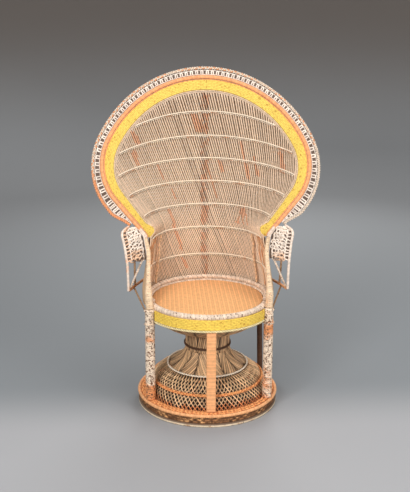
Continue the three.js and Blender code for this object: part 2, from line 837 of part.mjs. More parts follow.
function yellowBand() {
  const rings = archStations(bandEnd).map((distance) => {
    const far = Math.abs(distance);
    const inner = fanPoint(distance, yellowInner(far));
    const outer = fanPoint(distance, yellowOuter(far));
    const half = yellowBandThickness / 2;
    return [
      inner.clone().addScaledVector(fanNormal(inner.z), -half),
      outer.clone().addScaledVector(fanNormal(outer.z), -half),
      outer.clone().addScaledVector(fanNormal(outer.z), half),
      inner.clone().addScaledVector(fanNormal(inner.z), half),
    ];
  });
  return loft(rings);
}

function addBorder() {
  const marks = archStations(throatEnd);
  addPiece("fan_inner_bead", archRod(marks, beadOffset, beadRadius, 4), cream);
  addPiece("fan_yellow_band", yellowBand(), yellowPaint);
  addPiece("fan_outline_bead", archRod(marks, outlineBeadOffset, outlineBeadRadius, 4), cream);
  addPiece("fan_pole", archRod(marks, poleOffset, fanPoleRadius), orangeCane);
  addPiece("fan_loop_band", loopBand(), cream);
  const taper = stations(taperSteps, (share) => rimEnd - share * rimEndTaperLength);
  const rimMarks = archStations(rimEnd, taper);
  addPiece("fan_outer_rim", archRod(rimMarks, rimOffset, outerRimRadius), orangeCane);
}

// Front posts carry the pole of the fan on from the front legs
const postFootHeight = frontLegTop + clearance;

function postCurve(side) {
  const top = fanPoint(side * throatEnd, poleOffset(throatEnd));
  return new THREE.CatmullRomCurve3([
    new THREE.Vector3(side * frontLegX, -frontLegForward, postFootHeight),
    new THREE.Vector3(side * postX, -postShinForward, postFootHeight + postShinHeight),
    new THREE.Vector3(side * postX, -postKneeForward, postFootHeight + postKneeHeight),
    new THREE.Vector3(side * postX, postHipDepth, postFootHeight + postHipHeight),
    new THREE.Vector3(top.x, top.y, top.z - facetRoom - fanPoleRadius / 2),
    new THREE.Vector3(top.x, top.y, top.z - facetRoom),
  ]);
}

const postRadiusAt = (height) => {
  const share = Math.min(1, (height - postFootHeight) / postTaperHeight);
  return THREE.MathUtils.lerp(postFootRadius, postRadius, share);
};

function frontPost(side, gap = 0) {
  const path = postCurve(side).getPoints(15);
  const rings = path.map((point) => {
    const radius = postRadiusAt(point.z) + gap;
    return circleSection(radius, 8).map(([a, b]) =>
      new THREE.Vector3(point.x + a, point.y + b, point.z),
    );
  });
  return loft(rings);
}

// Edge of the woven back, right side, from the crown down to the seat
const edgeFoot = frontLegTop + clearance + backFootRodHeight / 2;
const throatEdge = fanPoint(throatEnd, edgeOffset(throatEnd));
const throatPole = fanPoint(throatEnd, poleOffset(throatEnd));

// Below the throat the edge passes from the inner side of the post round to behind it.
function tuckedEdge({ x, y, z }) {
  const turn = Math.min(1, (throatEdge.z - z) / edgeTuckLength) * (Math.PI / 2);
  const behind = postRadiusAt(z) + clearance + facetRoom + edgeRodRadius;
  const beside = (throatEdge.x - throatPole.x) * Math.cos(turn);
  return new THREE.Vector3(x + beside, y + behind * Math.sin(turn), z);
}

const edgeLine = [
  ...stations(150, (share) => fanPoint(share * throatEnd, edgeOffset(share * throatEnd))),
  ...postCurve(1)
    .getPoints(40)
    .reverse()
    .filter(({ z }) => z < throatEdge.z)
    .map(tuckedEdge),
];
const edgeTop = edgeLine[0].z;

// The point at a height of a line that runs downwards.
function pointAt(line, height) {
  const below = line.findIndex(({ z }) => z <= height);
  if (below <= 0) return line.at(below).clone();
  const [high, low] = [line[below - 1], line[below]];
  const share = (high.z - height) / (high.z - low.z);
  return high.clone().lerp(low, share);
}

// Level section of the shell: a circular arc through both edges and the middle of the back.
function shellArc(height) {
  const edge = pointAt(edgeLine, height);
  const rise = Math.max(0, (height - leanStartHeight) / (edgeTop - leanStartHeight));
  const footShare = Math.min(1, (height - edgeFoot) / (leanStartHeight - edgeFoot));
  const lowDrop = THREE.MathUtils.lerp(shellFootDepth, shellThroatDepth, footShare) - edge.y;
  const highDrop = (shellThroatDepth - throatDepth) * (1 - Math.min(1, rise) ** shellPower);
  const drop = rise > 0 ? highDrop : lowDrop;
  const radius = (edge.x ** 2 + drop ** 2) / (2 * drop);
  const span = Math.acos(1 - drop / radius) * radius;
  return { radius, span, centre: edge.y + drop - radius };
}

// A point of the shell, at an arc length from its middle line, a height and an offset outwards.
function shellPoint(reach, height, offset) {
  const { radius, centre } = shellArc(height);
  const angle = reach / radius;
  const far = radius + offset;
  return new THREE.Vector3(far * Math.sin(angle), centre + far * Math.cos(angle), height);
}

const shellNormal = (reach, height) =>
  shellPoint(reach, height, 1).sub(shellPoint(reach, height, 0)).normalize();

// The canes that lean on one line across the back: one for each stretch of it inside the edge.
function reedsFrom(start, lean, offset, setback) {
  const reachAt = (height) =>
    start * (1 + Math.max(0, height - leanStartHeight) / backFanReach) +
    lean * (height - edgeFoot) * Math.tan(radians(backReedAngle));
  const isInside = (height) =>
    height < edgeTop && Math.abs(reachAt(height)) < shellArc(height).span - setback - reedGrip;
  const marks = stations(160, (share) => THREE.MathUtils.lerp(edgeFoot, edgeTop, share));
  const runs = [];
  marks.forEach((height, i) => {
    if (!isInside(height)) return;
    if (i > 0 && isInside(marks[i - 1])) runs.at(-1).push(height);
    else runs.push([height]);
  });
  const meeting = (within, beyond) => {
    let [a, b] = [within, beyond];
    for (let i = 0; i < 12; i++) {
      const middle = (a + b) / 2;
      if (isInside(middle)) a = middle;
      else b = middle;
    }
    return a;
  };
  const step = marks[1] - marks[0];
  return runs.flatMap((run) => {
    const low = run[0] === edgeFoot ? edgeFoot : meeting(run[0], run[0] - step);
    const high = meeting(run.at(-1), run.at(-1) + step);
    if (high - low < shortestReed) return [];
    const count = Math.max(2, Math.ceil((high - low) / backReedStep));
    const heights = stations(count, (share) => THREE.MathUtils.lerp(high, low, share));
    const path = heights.map((height) => shellPoint(reachAt(height), height, offset));
    const normals = heights.map((height) => shellNormal(reachAt(height), height));
    return [{ path, normals, reachAt }];
  });
}

function layerReeds(lean, offset, setback) {
  const count = Math.round((reedStartShare * shellArc(edgeFoot).span) / backReedPitch);
  const starts = Array.from({ length: 2 * count + 1 }, (_, i) => (i - count) * backReedPitch);
  return starts.flatMap((start) => reedsFrom(start, lean, offset, setback));
}

const frontReeds = layerReeds(-1, 0, 0);
const rearReeds = layerReeds(1, backLayerSpacing, backLayerSetback);

// One layer of the back: leaning canes bound into a rod round the edge and a rod at the foot.
function backLayer(reeds, offset, setback, gap = 0) {
  const border = archStations(throatEnd).filter((distance) => distance > 0);
  const heights = [
    ...border.map((distance) => fanPoint(distance, edgeOffset(distance)).z),
    ...edgeLine.filter(({ z }, i) => i % 5 === 0 && z < throatEdge.z && z > edgeFoot).map(({ z }) => z),
    edgeFoot,
  ];
  const spot = (side, height) =>
    shellPoint(side * Math.max(0, shellArc(height).span - setback), height, offset);
  const crown = shellPoint(0, edgeTop - setback - edgeRodRadius, offset);
  const used = heights.filter((z) => z < crown.z - edgeRodRadius);
  const right = used.map((z) => spot(1, z));
  const left = used.map((z) => spot(-1, z)).reverse();
  const edge = rod([...left, crown, ...right], edgeRodRadius + gap, backward, 4);
  const { span } = shellArc(edgeFoot);
  const footPath = stations(20, (share) =>
    shellPoint((2 * share - 1) * (span - setback), edgeFoot, offset),
  );
  const footSection = flatSection(2 * (edgeRodRadius + gap), backFootRodHeight + 2 * gap);
  const foot = sweep(footPath, () => footSection, () => up);
  const reedSection = flatSection(reedWidth + 2 * gap, reedThickness + 2 * gap);
  const canes = reeds.map(({ path, normals }) => sweep(path, () => reedSection, (i) => normals[i]));
  return joined([foot, edge, ...canes]);
}

// A cross hoop lies on the inner faces of the front layer's canes, bent at each of them and
// notched where one would press into it.
function backHoop(height, droop, frontSpace) {
  const end = shellArc(height - droop).span - edgeRodRadius - backHoopGrip;
  const seat = reedThickness / 2 + clearance + backHoopRoom + backHoopTube * hoopFlatShare;
  const heightAt = (reach) => height - droop * (reach / end) ** 2;
  const spots = frontReeds.flatMap(({ path, reachAt }) => {
    let level = height;
    for (let i = 0; i < 20; i++) level = heightAt(reachAt(level));
    const reach = reachAt(level);
    if (level > path[0].z || level < path.at(-1).z || Math.abs(reach) > end - backHoopGrip) return [];
    return [{ reach, spot: pointAt(path, level) }];
  });
  for (const side of [-1, 1]) {
    spots.push({ reach: side * end, spot: shellPoint(side * end, heightAt(end), -backHoopEndRoom) });
  }
  spots.sort((a, b) => a.reach - b.reach);
  const path = spots.map(({ reach, spot }) =>
    spot.addScaledVector(shellNormal(reach, spot.z), -seat),
  );
  return cut(rod(path, backHoopTube, up, hoopSides), frontSpace);
}

function sideStay(side) {
  const hoopInside = reedThickness / 2 + clearance + backHoopRoom + 2 * backHoopTube * hoopFlatShare;
  const offset = -hoopInside - clearance - sideStayRoom - sideStayRadius;
  const foot = rollHeight + backRollTube + 2 * clearance;
  const path = stations(6, (share) => {
    const height = foot + share * sideStayLength;
    const reach = side * radians(sideStayAngle) * shellArc(height).radius;
    return shellPoint(reach, height, offset);
  });
  return rod(path, sideStayRadius, backward, 8);
}

function addBack() {
  addPiece("back_front_layer", backLayer(frontReeds, 0, 0), tanCane);
  addPiece("back_rear_layer", backLayer(rearReeds, backLayerSpacing, backLayerSetback), tanCane);
  const frontSpace = backLayer(frontReeds, 0, 0, clearance);
  backHoopRises.forEach((rise, i) => {
    addPiece(`back_hoop_${i + 1}`, backHoop(seatHeight + rise, backHoopDroops[i], frontSpace), cream);
  });
  for (const [name, side] of Object.entries(sides)) {
    addPiece(`side_stay_${name}`, sideStay(side), cream);
    addPiece(`front_post_${name}`, frontPost(side), cream);
  }
}

// Arms: a looped wing runs from the end of the fan's rim down to a pointed frame beside the seat
const rimEndPoint = (side) => fanPoint(side * rimEnd, rimOffset(rimEnd));
const armTipHeight = seatHeight + armTipRise;
const armPanelTop = seatHeight + armPanelTopRise;
const armPanelBottom = seatHeight + armPanelBottomRise;
const armTip = (side) => new THREE.Vector3(side * (frontLegX + armTipSpread), -armTipForward, armTipHeight);

function armPoleCurve(side) {
  const start = rimEndPoint(side);
  const bulge = new THREE.Vector3(side * armBulgeX, armBulgeDepth, seatHeight + armBulgeRise);
  const away = bulge.clone().sub(start).normalize();
  start.addScaledVector(away, outerRimRadius + 2 * clearance + facetRoom);
  return new THREE.CatmullRomCurve3([
    start,
    bulge,
    new THREE.Vector3(side * (frontLegX + armSideSpread), -armSideForward, seatHeight + armSideRise),
    new THREE.Vector3(side * (frontLegX + armFallSpread), -armFallForward, seatHeight + armFallRise),
    armTip(side),
  ]);
}

const armPole = (side, gap = 0) =>
  rod(armPoleCurve(side).getPoints(14), armPoleRadius + gap, backward);

// The lower end of the fan's pole, from the shoulder down, and the line that it makes with the post
const poleDistances = archStations(throatEnd).filter((distance) => distance > crownLength);

function poleEnd(side, gap) {
  const path = poleDistances.map((distance) => fanPoint(side * distance, poleOffset(distance)));
  return sweep(path, () => circleSection(fanPoleRadius + gap), (i) => fanNormal(path[i].z));
}

const carrierLine = (side) => [
  ...poleDistances.map((distance) => fanPoint(side * distance, poleOffset(distance))),
  ...postCurve(side).getPoints(40).reverse(),
];

// One level row of the arm's panel: its two ends and the sides of its openings
function armPanelRow(side, height) {
  const inner = pointAt(carrierLine(side), height);
  const outer = pointAt(armPoleCurve(side).getPoints(60), height);
  const across = outer.clone().sub(inner).normalize();
  const innerReach = fanPoleRadius + armPanelMargin;
  const outerReach = armPoleRadius + armPanelMargin;
  return [
    inner.clone().addScaledVector(across, fanPoleRadius * armPanelSeatShare),
    inner.clone().addScaledVector(across, innerReach),
    outer.clone().addScaledVector(across, -outerReach),
    outer.clone().addScaledVector(across, -armPoleRadius * armPanelSeatShare),
  ];
}

// The arm's openwork panel, cut to sit between the post and the arm's pole
function armPanel(side) {
  const rows = barStations(armPanelCellCount, armPanelBarShare).map((share) =>
    armPanelRow(side, THREE.MathUtils.lerp(armPanelTop, armPanelBottom, share)),
  );
  const normals = rows.map((row) => row[3].clone().sub(row[0]).cross(up).normalize());
  const panel = openStrip(rows, armPanelThickness, normals, (i) => i % 2 === 1);
  return cut(panel, frontPost(side, clearance), poleEnd(side, clearance), armPole(side, clearance));
}

// The lower hoop runs from the arm's tip back along the outside of the shell.
function armHoopCurve(side) {
  const foot = armTip(side);
  const height = armTipHeight + armHoopClimb;
  const { radius, centre } = shellArc(height);
  const skin = backLayerSpacing + reedThickness / 2 + clearance + facetRoom;
  const far = radius + skin + armHoopRadius;
  const x = Math.sqrt(far ** 2 - (armHoopBack - centre) ** 2);
  const end = new THREE.Vector3(side * x, armHoopBack, height);
  const along = end.clone().sub(foot).normalize();
  const start = foot.addScaledVector(along, armPoleRadius + clearance + facetRoom);
  const middle = start.clone().lerp(end, 0.5);
  middle.x += side * armHoopBow;
  return new THREE.CatmullRomCurve3([start, middle, end]);
}

const armHoop = (side, gap = 0) => rod(armHoopCurve(side).getPoints(6), armHoopRadius + gap);

// A slanting strut from the panel's lower edge down to the lower hoop.
function armStrut(side, [panelShare, hoopShare]) {
  const [inner, , , outer] = armPanelRow(side, armPanelBottom);
  const top = inner.lerp(outer, panelShare);
  top.z -= clearance;
  const foot = armHoopCurve(side).getPoint(hoopShare);
  const rings = [top, foot].map(({ x, y, z }) =>
    circleSection(armStrutRadius).map(([a, b]) => new THREE.Vector3(x + a, y + b, z)),
  );
  return cut(loft(rings), armHoop(side, clearance));
}

// A brace from the lower hoop to the front leg.
function armBrace(side) {
  const start = armHoopCurve(side).getPoint(armBraceShare);
  const end = new THREE.Vector3(side * frontLegX, -frontLegForward, frontLegTop - armBraceDrop);
  return cut(rod([start, end], armStrutRadius), armHoop(side, clearance), frontLeg(side, clearance));
}

function addArms() {
  for (const [name, side] of Object.entries(sides)) {
    addPiece(`arm_pole_${name}`, armPole(side), orangeCane);
    addPiece(`arm_panel_${name}`, armPanel(side), cream);
    addPiece(`arm_lower_hoop_${name}`, armHoop(side), orangeCane);
    addPiece(`arm_outer_strut_${name}`, armStrut(side, outerStrutShares), tanCane);
    addPiece(`arm_inner_strut_${name}`, armStrut(side, innerStrutShares), tanCane);
    addPiece(`arm_brace_${name}`, armBrace(side), orangeCane);
  }
}

addBase();
addPedestal();
addLegs();
addSeat();
addBorder();
addBack();
addArms();

// The origin lies under the middle of the chair's bounding box.
const box = new THREE.Box3().setFromObject(chair);
chair.position.y = -(box.min.y + box.max.y) / 2;

export default chair;
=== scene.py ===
# %% [markdown]
# # A peacock chair, woven in Blender
#
# The chair is made wholly of cane: a drum-shaped seat on an hourglass pedestal, and a tall fan of
# crossing canes with looped borders. The CAD frame gives every piece its place. This lesson puts
# the real weave in those places: each border, hoop and layer is made of its own strands.

import math
import random
from functools import partial

import bpy
import numpy as np
from mathutils import Matrix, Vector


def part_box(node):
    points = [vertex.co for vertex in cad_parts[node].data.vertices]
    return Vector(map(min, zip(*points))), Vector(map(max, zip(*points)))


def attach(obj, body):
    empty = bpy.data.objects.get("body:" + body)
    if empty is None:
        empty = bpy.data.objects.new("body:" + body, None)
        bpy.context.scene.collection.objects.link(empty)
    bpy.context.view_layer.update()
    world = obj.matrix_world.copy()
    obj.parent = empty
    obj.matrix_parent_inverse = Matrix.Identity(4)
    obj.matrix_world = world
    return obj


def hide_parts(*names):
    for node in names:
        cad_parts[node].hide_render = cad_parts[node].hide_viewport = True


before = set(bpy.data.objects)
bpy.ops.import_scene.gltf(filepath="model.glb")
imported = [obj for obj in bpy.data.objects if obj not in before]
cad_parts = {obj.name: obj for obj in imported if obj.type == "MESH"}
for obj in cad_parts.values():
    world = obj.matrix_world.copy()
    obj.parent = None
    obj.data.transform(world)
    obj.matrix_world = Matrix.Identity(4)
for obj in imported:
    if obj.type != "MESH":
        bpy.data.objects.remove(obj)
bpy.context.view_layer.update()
print("frame loaded with", len(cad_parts), "nodes")

# %% [markdown]
# ## Measures
#
# All lengths are in millimetres about the middle of the base, as in the CAD source, and become
# metres in the row frame only when a mesh is made. The borders of the fan follow one outline of
# arcs, so the same few radii and angles are named here again.

# %% Name the measures
MM = 0.001
low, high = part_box("base_foot_hoop")
BASE_Y = (low.y + high.y) / 2 / MM
CLEARANCE = 0.3

SEAT_HEIGHT = 460
SEAT_FORWARD = 11
SEAT_HOOP_RADIUS = 239
SEAT_HOOP_TUBE = 13

CROWN_RADIUS = 401
CROWN_CENTRE = SEAT_HEIGHT + 405
CROWN_ANGLE = math.radians(63)
SHOULDER_RADIUS = 161
SHOULDER_ANGLE = math.radians(65)
FLANK_LENGTH = 184
THROAT_RADIUS = 60
THROAT_ANGLE = math.radians(38)

THROAT_DEPTH = 50
CROWN_DEPTH = 320
LEAN_START = SEAT_HEIGHT + 265
LEAN_RISE = 645
LEAN_POWER = 1.3
SHELL_FOOT_DEPTH = 245.5
SHELL_THROAT_DEPTH = 262
SHELL_POWER = 2.1

LEG_X = 239
LEG_FORWARD = 128
LEG_TOP = SEAT_HEIGHT - 17

crown_length = CROWN_RADIUS * CROWN_ANGLE
shoulder_length = SHOULDER_RADIUS * SHOULDER_ANGLE
flank_start = crown_length + shoulder_length
flank_end = flank_start + FLANK_LENGTH
throat_end = flank_end + THROAT_RADIUS * THROAT_ANGLE
print(f"the outline runs {throat_end:.0f} mm from the crown down to each throat")

# %% [markdown]
# ## The outline of the fan
#
# Seen from the front, half the outline is a crown arc, a shoulder arc, a straight flank and a
# throat arc that turns back towards the post. A point is given by its distance along the outline
# and its offset outwards. The fan leans back, so its depth follows from its height alone.


# %% Find points of the outline
OUTLINE_PARTS = (
    (crown_length, CROWN_RADIUS),
    (shoulder_length, SHOULDER_RADIUS),
    (FLANK_LENGTH, math.inf),
    (math.inf, -THROAT_RADIUS),
)


def outline(distance, offset):
    """Walk the parts, each a length and the radius at which it turns; the flank is straight."""
    x, z, slope = 0.0, CROWN_CENTRE + CROWN_RADIUS, 0.0
    for length, radius in OUTLINE_PARTS:
        run = np.clip(distance, 0, length)
        distance = distance - run
        after = slope + run / radius
        if radius == math.inf:
            x, z = x + run * np.cos(slope), z - run * np.sin(slope)
        else:
            x = x + radius * (np.sin(after) - np.sin(slope))
            z = z + radius * (np.cos(after) - np.cos(slope))
        slope = after
    return x + offset * np.sin(slope), z + offset * np.cos(slope)


def lean_share(height):
    return np.maximum(0, (np.asarray(height, float) - LEAN_START) / LEAN_RISE)


def fan_depth(height):
    return THROAT_DEPTH + (CROWN_DEPTH - THROAT_DEPTH) * lean_share(height) ** LEAN_POWER


def fan_facing(height):
    """The direction square to the fan, towards its back, at a height."""
    share = lean_share(height)
    slope = (CROWN_DEPTH - THROAT_DEPTH) * LEAN_POWER * share ** (LEAN_POWER - 1) / LEAN_RISE
    return unit(np.stack([0 * slope, 1 + 0 * slope, -slope], -1))


def unit(vectors):
    return vectors / np.linalg.norm(vectors, axis=-1, keepdims=True)


def fan_point(distance, offset):
    """A point of the fan; the left half has negative distances."""
    x, z = outline(np.abs(distance), offset)
    return np.stack([np.sign(distance) * x, fan_depth(z), z], -1)


print("crown at", np.round(fan_point(0.001, 0)), "throat at", np.round(fan_point(throat_end, 0)))

# %% [markdown]
# ## Offsets of the border
#
# From the weave outwards come a bead, the yellow band, a thin bead, the wrapped pole, the loops
# and the braided rim. At the throat the yellow band ends in a drop, so all that lies inside it
# moves out.

# %% Place the border's pieces
EDGE_ROD = 2.5
BEAD = 2.8
YELLOW_WIDTH = 38
YELLOW_THROAT_WIDTH = 21
YELLOW_THICKNESS = 8
DROP_LEAD, DROP_SWELL = 34, 13
OUTLINE_BEAD = 2
POLE = 8
LOOP_WIDTH = 20
RIM = 7
RIM_LIFT = 66
RIM_TAPER = 90
RIM_NARROWING = 30


def smooth(start, end, value):
    share = np.clip((np.asarray(value, float) - start) / (end - start), 0, 1)
    return share * share * (3 - 2 * share)


def drop_at(distance):
    share = np.clip((np.abs(distance) - flank_end) / (throat_end - flank_end), 0, 1)
    return YELLOW_THROAT_WIDTH * (1 - np.cos(share * math.pi / 2))


def drop_bulge(distance):
    """How far the yellow band swells inwards over the weave, where it ends in a drop."""
    run = throat_end - flank_end + DROP_LEAD
    share = np.clip((np.abs(distance) - flank_end + DROP_LEAD) / run, 0, 1)
    return DROP_SWELL * np.sin(math.pi * share) ** 1.5


def yellow_inner(distance):
    return 2 * BEAD + 2 * CLEARANCE + drop_at(distance) - drop_bulge(distance)


def yellow_outer(distance):
    narrowing = smooth(crown_length, flank_end, np.abs(distance))
    width = YELLOW_WIDTH + (YELLOW_THROAT_WIDTH - YELLOW_WIDTH) * narrowing
    return 2 * BEAD + CLEARANCE + width


def outline_bead_offset(distance):
    return yellow_outer(distance) + CLEARANCE + OUTLINE_BEAD


def pole_offset(distance):
    return outline_bead_offset(distance) + OUTLINE_BEAD + CLEARANCE + POLE


def loop_inner(distance):
    return pole_offset(distance) + POLE + CLEARANCE


rim_end = flank_end - RIM_LIFT


def loop_outer(distance):
    narrowing = RIM_NARROWING * smooth(rim_end - RIM_TAPER, rim_end, np.abs(distance))
    return loop_inner(0) + LOOP_WIDTH - narrowing


def rim_offset(distance):
    return loop_outer(distance) + CLEARANCE + RIM


print(f"pole {pole_offset(0):.1f} mm and rim {rim_offset(0):.1f} mm outside the weave's edge")

# %% [markdown]
# ## Strands
#
# Nearly every piece is a skin over rows of points: a tube is a row of circles along a path, a
# wrapped pole is a tube whose radius rises and falls once per turn, and a plaited band is a flat
# tube whose faces swell where a strand passes over. Each point also keeps how high it lies on its
# strand, a tone for its strand and how worn it is, and the finishes read these values. Where a
# point lies low the finishes paint shade, and some pieces set it low only to paint shade there. A
# winding is given by its radius, the pitch of its turns, the depth between them and its number of
# sides. A braid is given by how far its strands swing sideways and up, their radius, and the
# length after which they repeat.


# %% Collect strands into pieces
STRAND_VALUES = ("Crest", "Tone", "Worn")


class Strands:
    """Skins that together make one piece, with the values that its finish reads at each point."""

    def __init__(self):
        self.points, self.faces, self.values = [], [], []
        self.count = 0

    def skin(self, rows, closed=False, crest=1.0, tone=0.5, worn=0.0):
        rows = np.asarray(rows, float)
        n, m = rows.shape[:2]
        grid = np.arange(n * m).reshape(n, m)
        if closed:
            grid = np.vstack([grid, grid[:1]])
        here, ahead = grid[:-1], grid[1:]
        quads = np.stack([here, ahead, np.roll(ahead, -1, 1), np.roll(here, -1, 1)], -1)
        quads = quads.reshape(-1, 4)
        flat = rows.reshape(-1, 3)
        middle = flat.mean(0)
        a, b, c, d = (flat[quads[:, i]] - middle for i in range(4))
        outward = np.einsum("ij,ij->i", a + b + c + d, np.cross(c - a, d - b)).sum() > 0
        faces = (quads if outward else quads[:, ::-1]) + self.count
        self.faces.extend(faces.tolist())
        if not closed:
            first, last = (grid[0] + self.count).tolist(), (grid[-1] + self.count).tolist()
            self.faces.extend([first, last[::-1]] if outward else [first[::-1], last])
        self.points.append(flat)
        columns = [np.broadcast_to(v, (n, m)).reshape(-1) for v in (crest, tone, worn)]
        self.values.append(np.stack(columns, -1))
        self.count += n * m

    def make(self, name, finish, node):
        points = (np.concatenate(self.points) + [0, BASE_Y, 0]) * MM
        mesh = bpy.data.meshes.new(name)
        mesh.from_pydata(points.tolist(), [], self.faces)
        mesh.polygons.foreach_set("use_smooth", np.ones(len(mesh.polygons), bool))
        values = np.concatenate(self.values)
        for column, label in enumerate(STRAND_VALUES):
            layer = mesh.attributes.new(label.lower(), "FLOAT", "POINT")
            layer.data.foreach_set("value", np.ascontiguousarray(values[:, column], np.float32))
        mesh.materials.append(finish)
        mesh.update()
        piece = bpy.data.objects.new(name, mesh)
        bpy.context.scene.collection.objects.link(piece)
        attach(piece, "root")
        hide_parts(node)
        print(f"{name}: {len(mesh.polygons)} faces")
        return piece


# %% Sweep tubes along paths
UP = (0, 0, 1)
BACK = (0, 1, 0)


def once_round(count):
    """Angles that go once round a circle, the last one short of the first."""
    return np.arange(count) / count * 2 * math.pi


def frames(path, lift, closed):
    if closed:
        along = unit(np.roll(path, -1, 0) - np.roll(path, 1, 0))
    else:
        along = unit(np.gradient(path, axis=0))
    side = unit(np.cross(along, np.broadcast_to(np.asarray(lift, float), path.shape)))
    return side, np.cross(side, along)


def tube(path, radius, sides=6, lift=UP, closed=False, flat=1.0):
    """Rows of circles along a path; flat squeezes them in the direction of lift."""
    path = np.asarray(path, float)
    side, crown = frames(path, lift, closed)
    turn = once_round(sides)[None, :, None]
    reach = np.broadcast_to(np.asarray(radius, float), (len(path), sides))[..., None]
    spokes = np.cos(turn) * side[:, None] + flat * np.sin(turn) * crown[:, None]
    return path[:, None] + reach * spokes


def lengths(path, closed=False):
    steps = np.linalg.norm(np.diff(path, axis=0), axis=1)
    total = steps.sum() + (np.linalg.norm(path[0] - path[-1]) if closed else 0)
    return np.concatenate([[0], np.cumsum(steps)]), total


def resample(path, count, closed=False):
    path = np.asarray(path, float)
    if closed:
        path = np.vstack([path, path[:1]])
    marks, total = lengths(path)
    wanted = np.linspace(0, total, count + 1)[:-1] if closed else np.linspace(0, total, count)
    return np.stack([np.interp(wanted, marks, path[:, k]) for k in range(3)], -1)


def arc(radius, height, turn, forward=0.0):
    """Points at angles from the front, about an upright axis that may stand forward."""
    level = height + 0 * turn
    return np.stack([radius * np.sin(turn), -forward - radius * np.cos(turn), level], -1)


def circle(radius, height, count=240, forward=0.0):
    return arc(radius, height, once_round(count), forward)


print("a circle of the base has", len(circle(287, 40)), "points")


# %% Wind, twist and braid
def stretched(values, count):
    """Values given along a path, at a new number of places on it."""
    values = np.asarray(values, float).reshape(len(values), -1)
    wanted, marks = np.linspace(0, 1, count), np.linspace(0, 1, len(values))
    return np.stack([np.interp(wanted, marks, column) for column in values.T], -1)


def edge_shade(sides, least):
    """Painted shade round a strand: crest values full on its faces and least on its two edges."""
    return least + (1 - least) * np.abs(np.sin(once_round(sides)))


CANE_ROUNDING = 0.55


def wrapped(
    strands, path, radius, pitch, depth, sides=10, lift=UP, closed=False, steps=4, worn=None
):
    """A pole wound with flat cane: each turn is a low swelling, and the turns run as a spiral."""
    _, total = lengths(np.asarray(path, float), closed)
    turns = max(2, round(total / pitch))
    path = resample(path, turns * steps + (0 if closed else 1), closed)
    places = len(path)
    phase = np.arange(places)[:, None] / steps + np.arange(sides)[None, :] / sides
    # The crest is low between the turns, where the finish paints shade.
    crest = np.abs(np.sin(math.pi * phase)) ** CANE_ROUNDING
    radius = stretched(radius, places) if np.ndim(radius) else radius
    lift = stretched(lift, places) if np.ndim(lift) > 1 else lift
    rows = tube(path, radius - depth * (1 - crest), sides, lift, closed)
    bare = 0.0 if worn is None else worn(np.linspace(0, 1, places))[:, None]
    strands.skin(rows, closed, crest, (np.floor(phase) * 0.618) % 1, bare)


def braided(
    strands, path, wide, high, strand, period, lift=UP, closed=False, count=3, bows=2, worn=None
):
    """Strands that pass over each other in turn; with bows=1 they twist like a rope."""
    _, total = lengths(np.asarray(path, float), closed)
    steps, sides = 12, 6
    places = max(1, round(total / period)) * steps + (0 if closed else 1)
    path = resample(path, places, closed)
    lift = stretched(lift, places) if np.ndim(lift) > 1 else lift
    side, crown = frames(path, lift, closed)
    phase = np.arange(places) / steps * 2 * math.pi
    spoke = once_round(sides)
    for k in range(count):
        turn = phase + 2 * math.pi * k / count
        hop = np.cos(turn) if bows == 1 else np.sin(2 * turn)
        centre = path + (wide * np.sin(turn))[:, None] * side + (high * hop)[:, None] * crown
        outwards = np.sin(turn[:, None] + spoke) if bows == 1 else hop[:, None] * np.sin(spoke)
        # The crest is low on the inward faces of each strand, where the finish paints shade.
        crest = np.clip(0.4 + 0.6 * outwards, 0, 1)
        bare = 0.0 if worn is None else worn(np.linspace(0, 1, places), k)[:, None]
        cane = tube(centre, strand, sides, lift, closed)
        strands.skin(cane, closed, crest, (k + 0.5) / count, bare)


def plait(along, across, stake_pitch, strand_width):
    """How high a plain weave stands at a place of its band: 1 on top of a strand, 0 in a hole."""
    row = np.floor(across / strand_width)
    rounding = np.abs(np.sin(math.pi * across / strand_width)) ** 0.5
    weave = 0.5 + 0.5 * np.cos(math.pi * (along / stake_pitch + row))
    return rounding * (0.3 + 0.7 * weave)


def single(lay, name, finish, node, path, *shape, **more):
    """Make a piece of one winding or one braid, laid along a path."""
    strands = Strands()
    lay(strands, path, *shape, **more)
    strands.make(name, finish, node)


print("ready to wind, twist, braid and plait")

# %% [markdown]
# ## Finishes
#
# The chair was painted long ago and the paint has worn: it stays in the hollows in places and rubs
# off on the crests, where natural orange cane shows. One node group holds that wear and every
# finish uses it with its own colours, so the wear has one character all over the chair. The same
# group also paints shade into the hollows: where a point lies low on its strand, its colour goes
# towards the hollow colour.


# %% Build the worn paint group
COLOURS = ("Paint", "Cane", "Hollow")
SETTINGS = ("Wear", "Specks", "Speck size", "Patch size", "Painted shade depth", "Tone range")
CLOUD_SCALE, FLECK_SCALE, FIBRE_SCALE = 70, 420, 1500


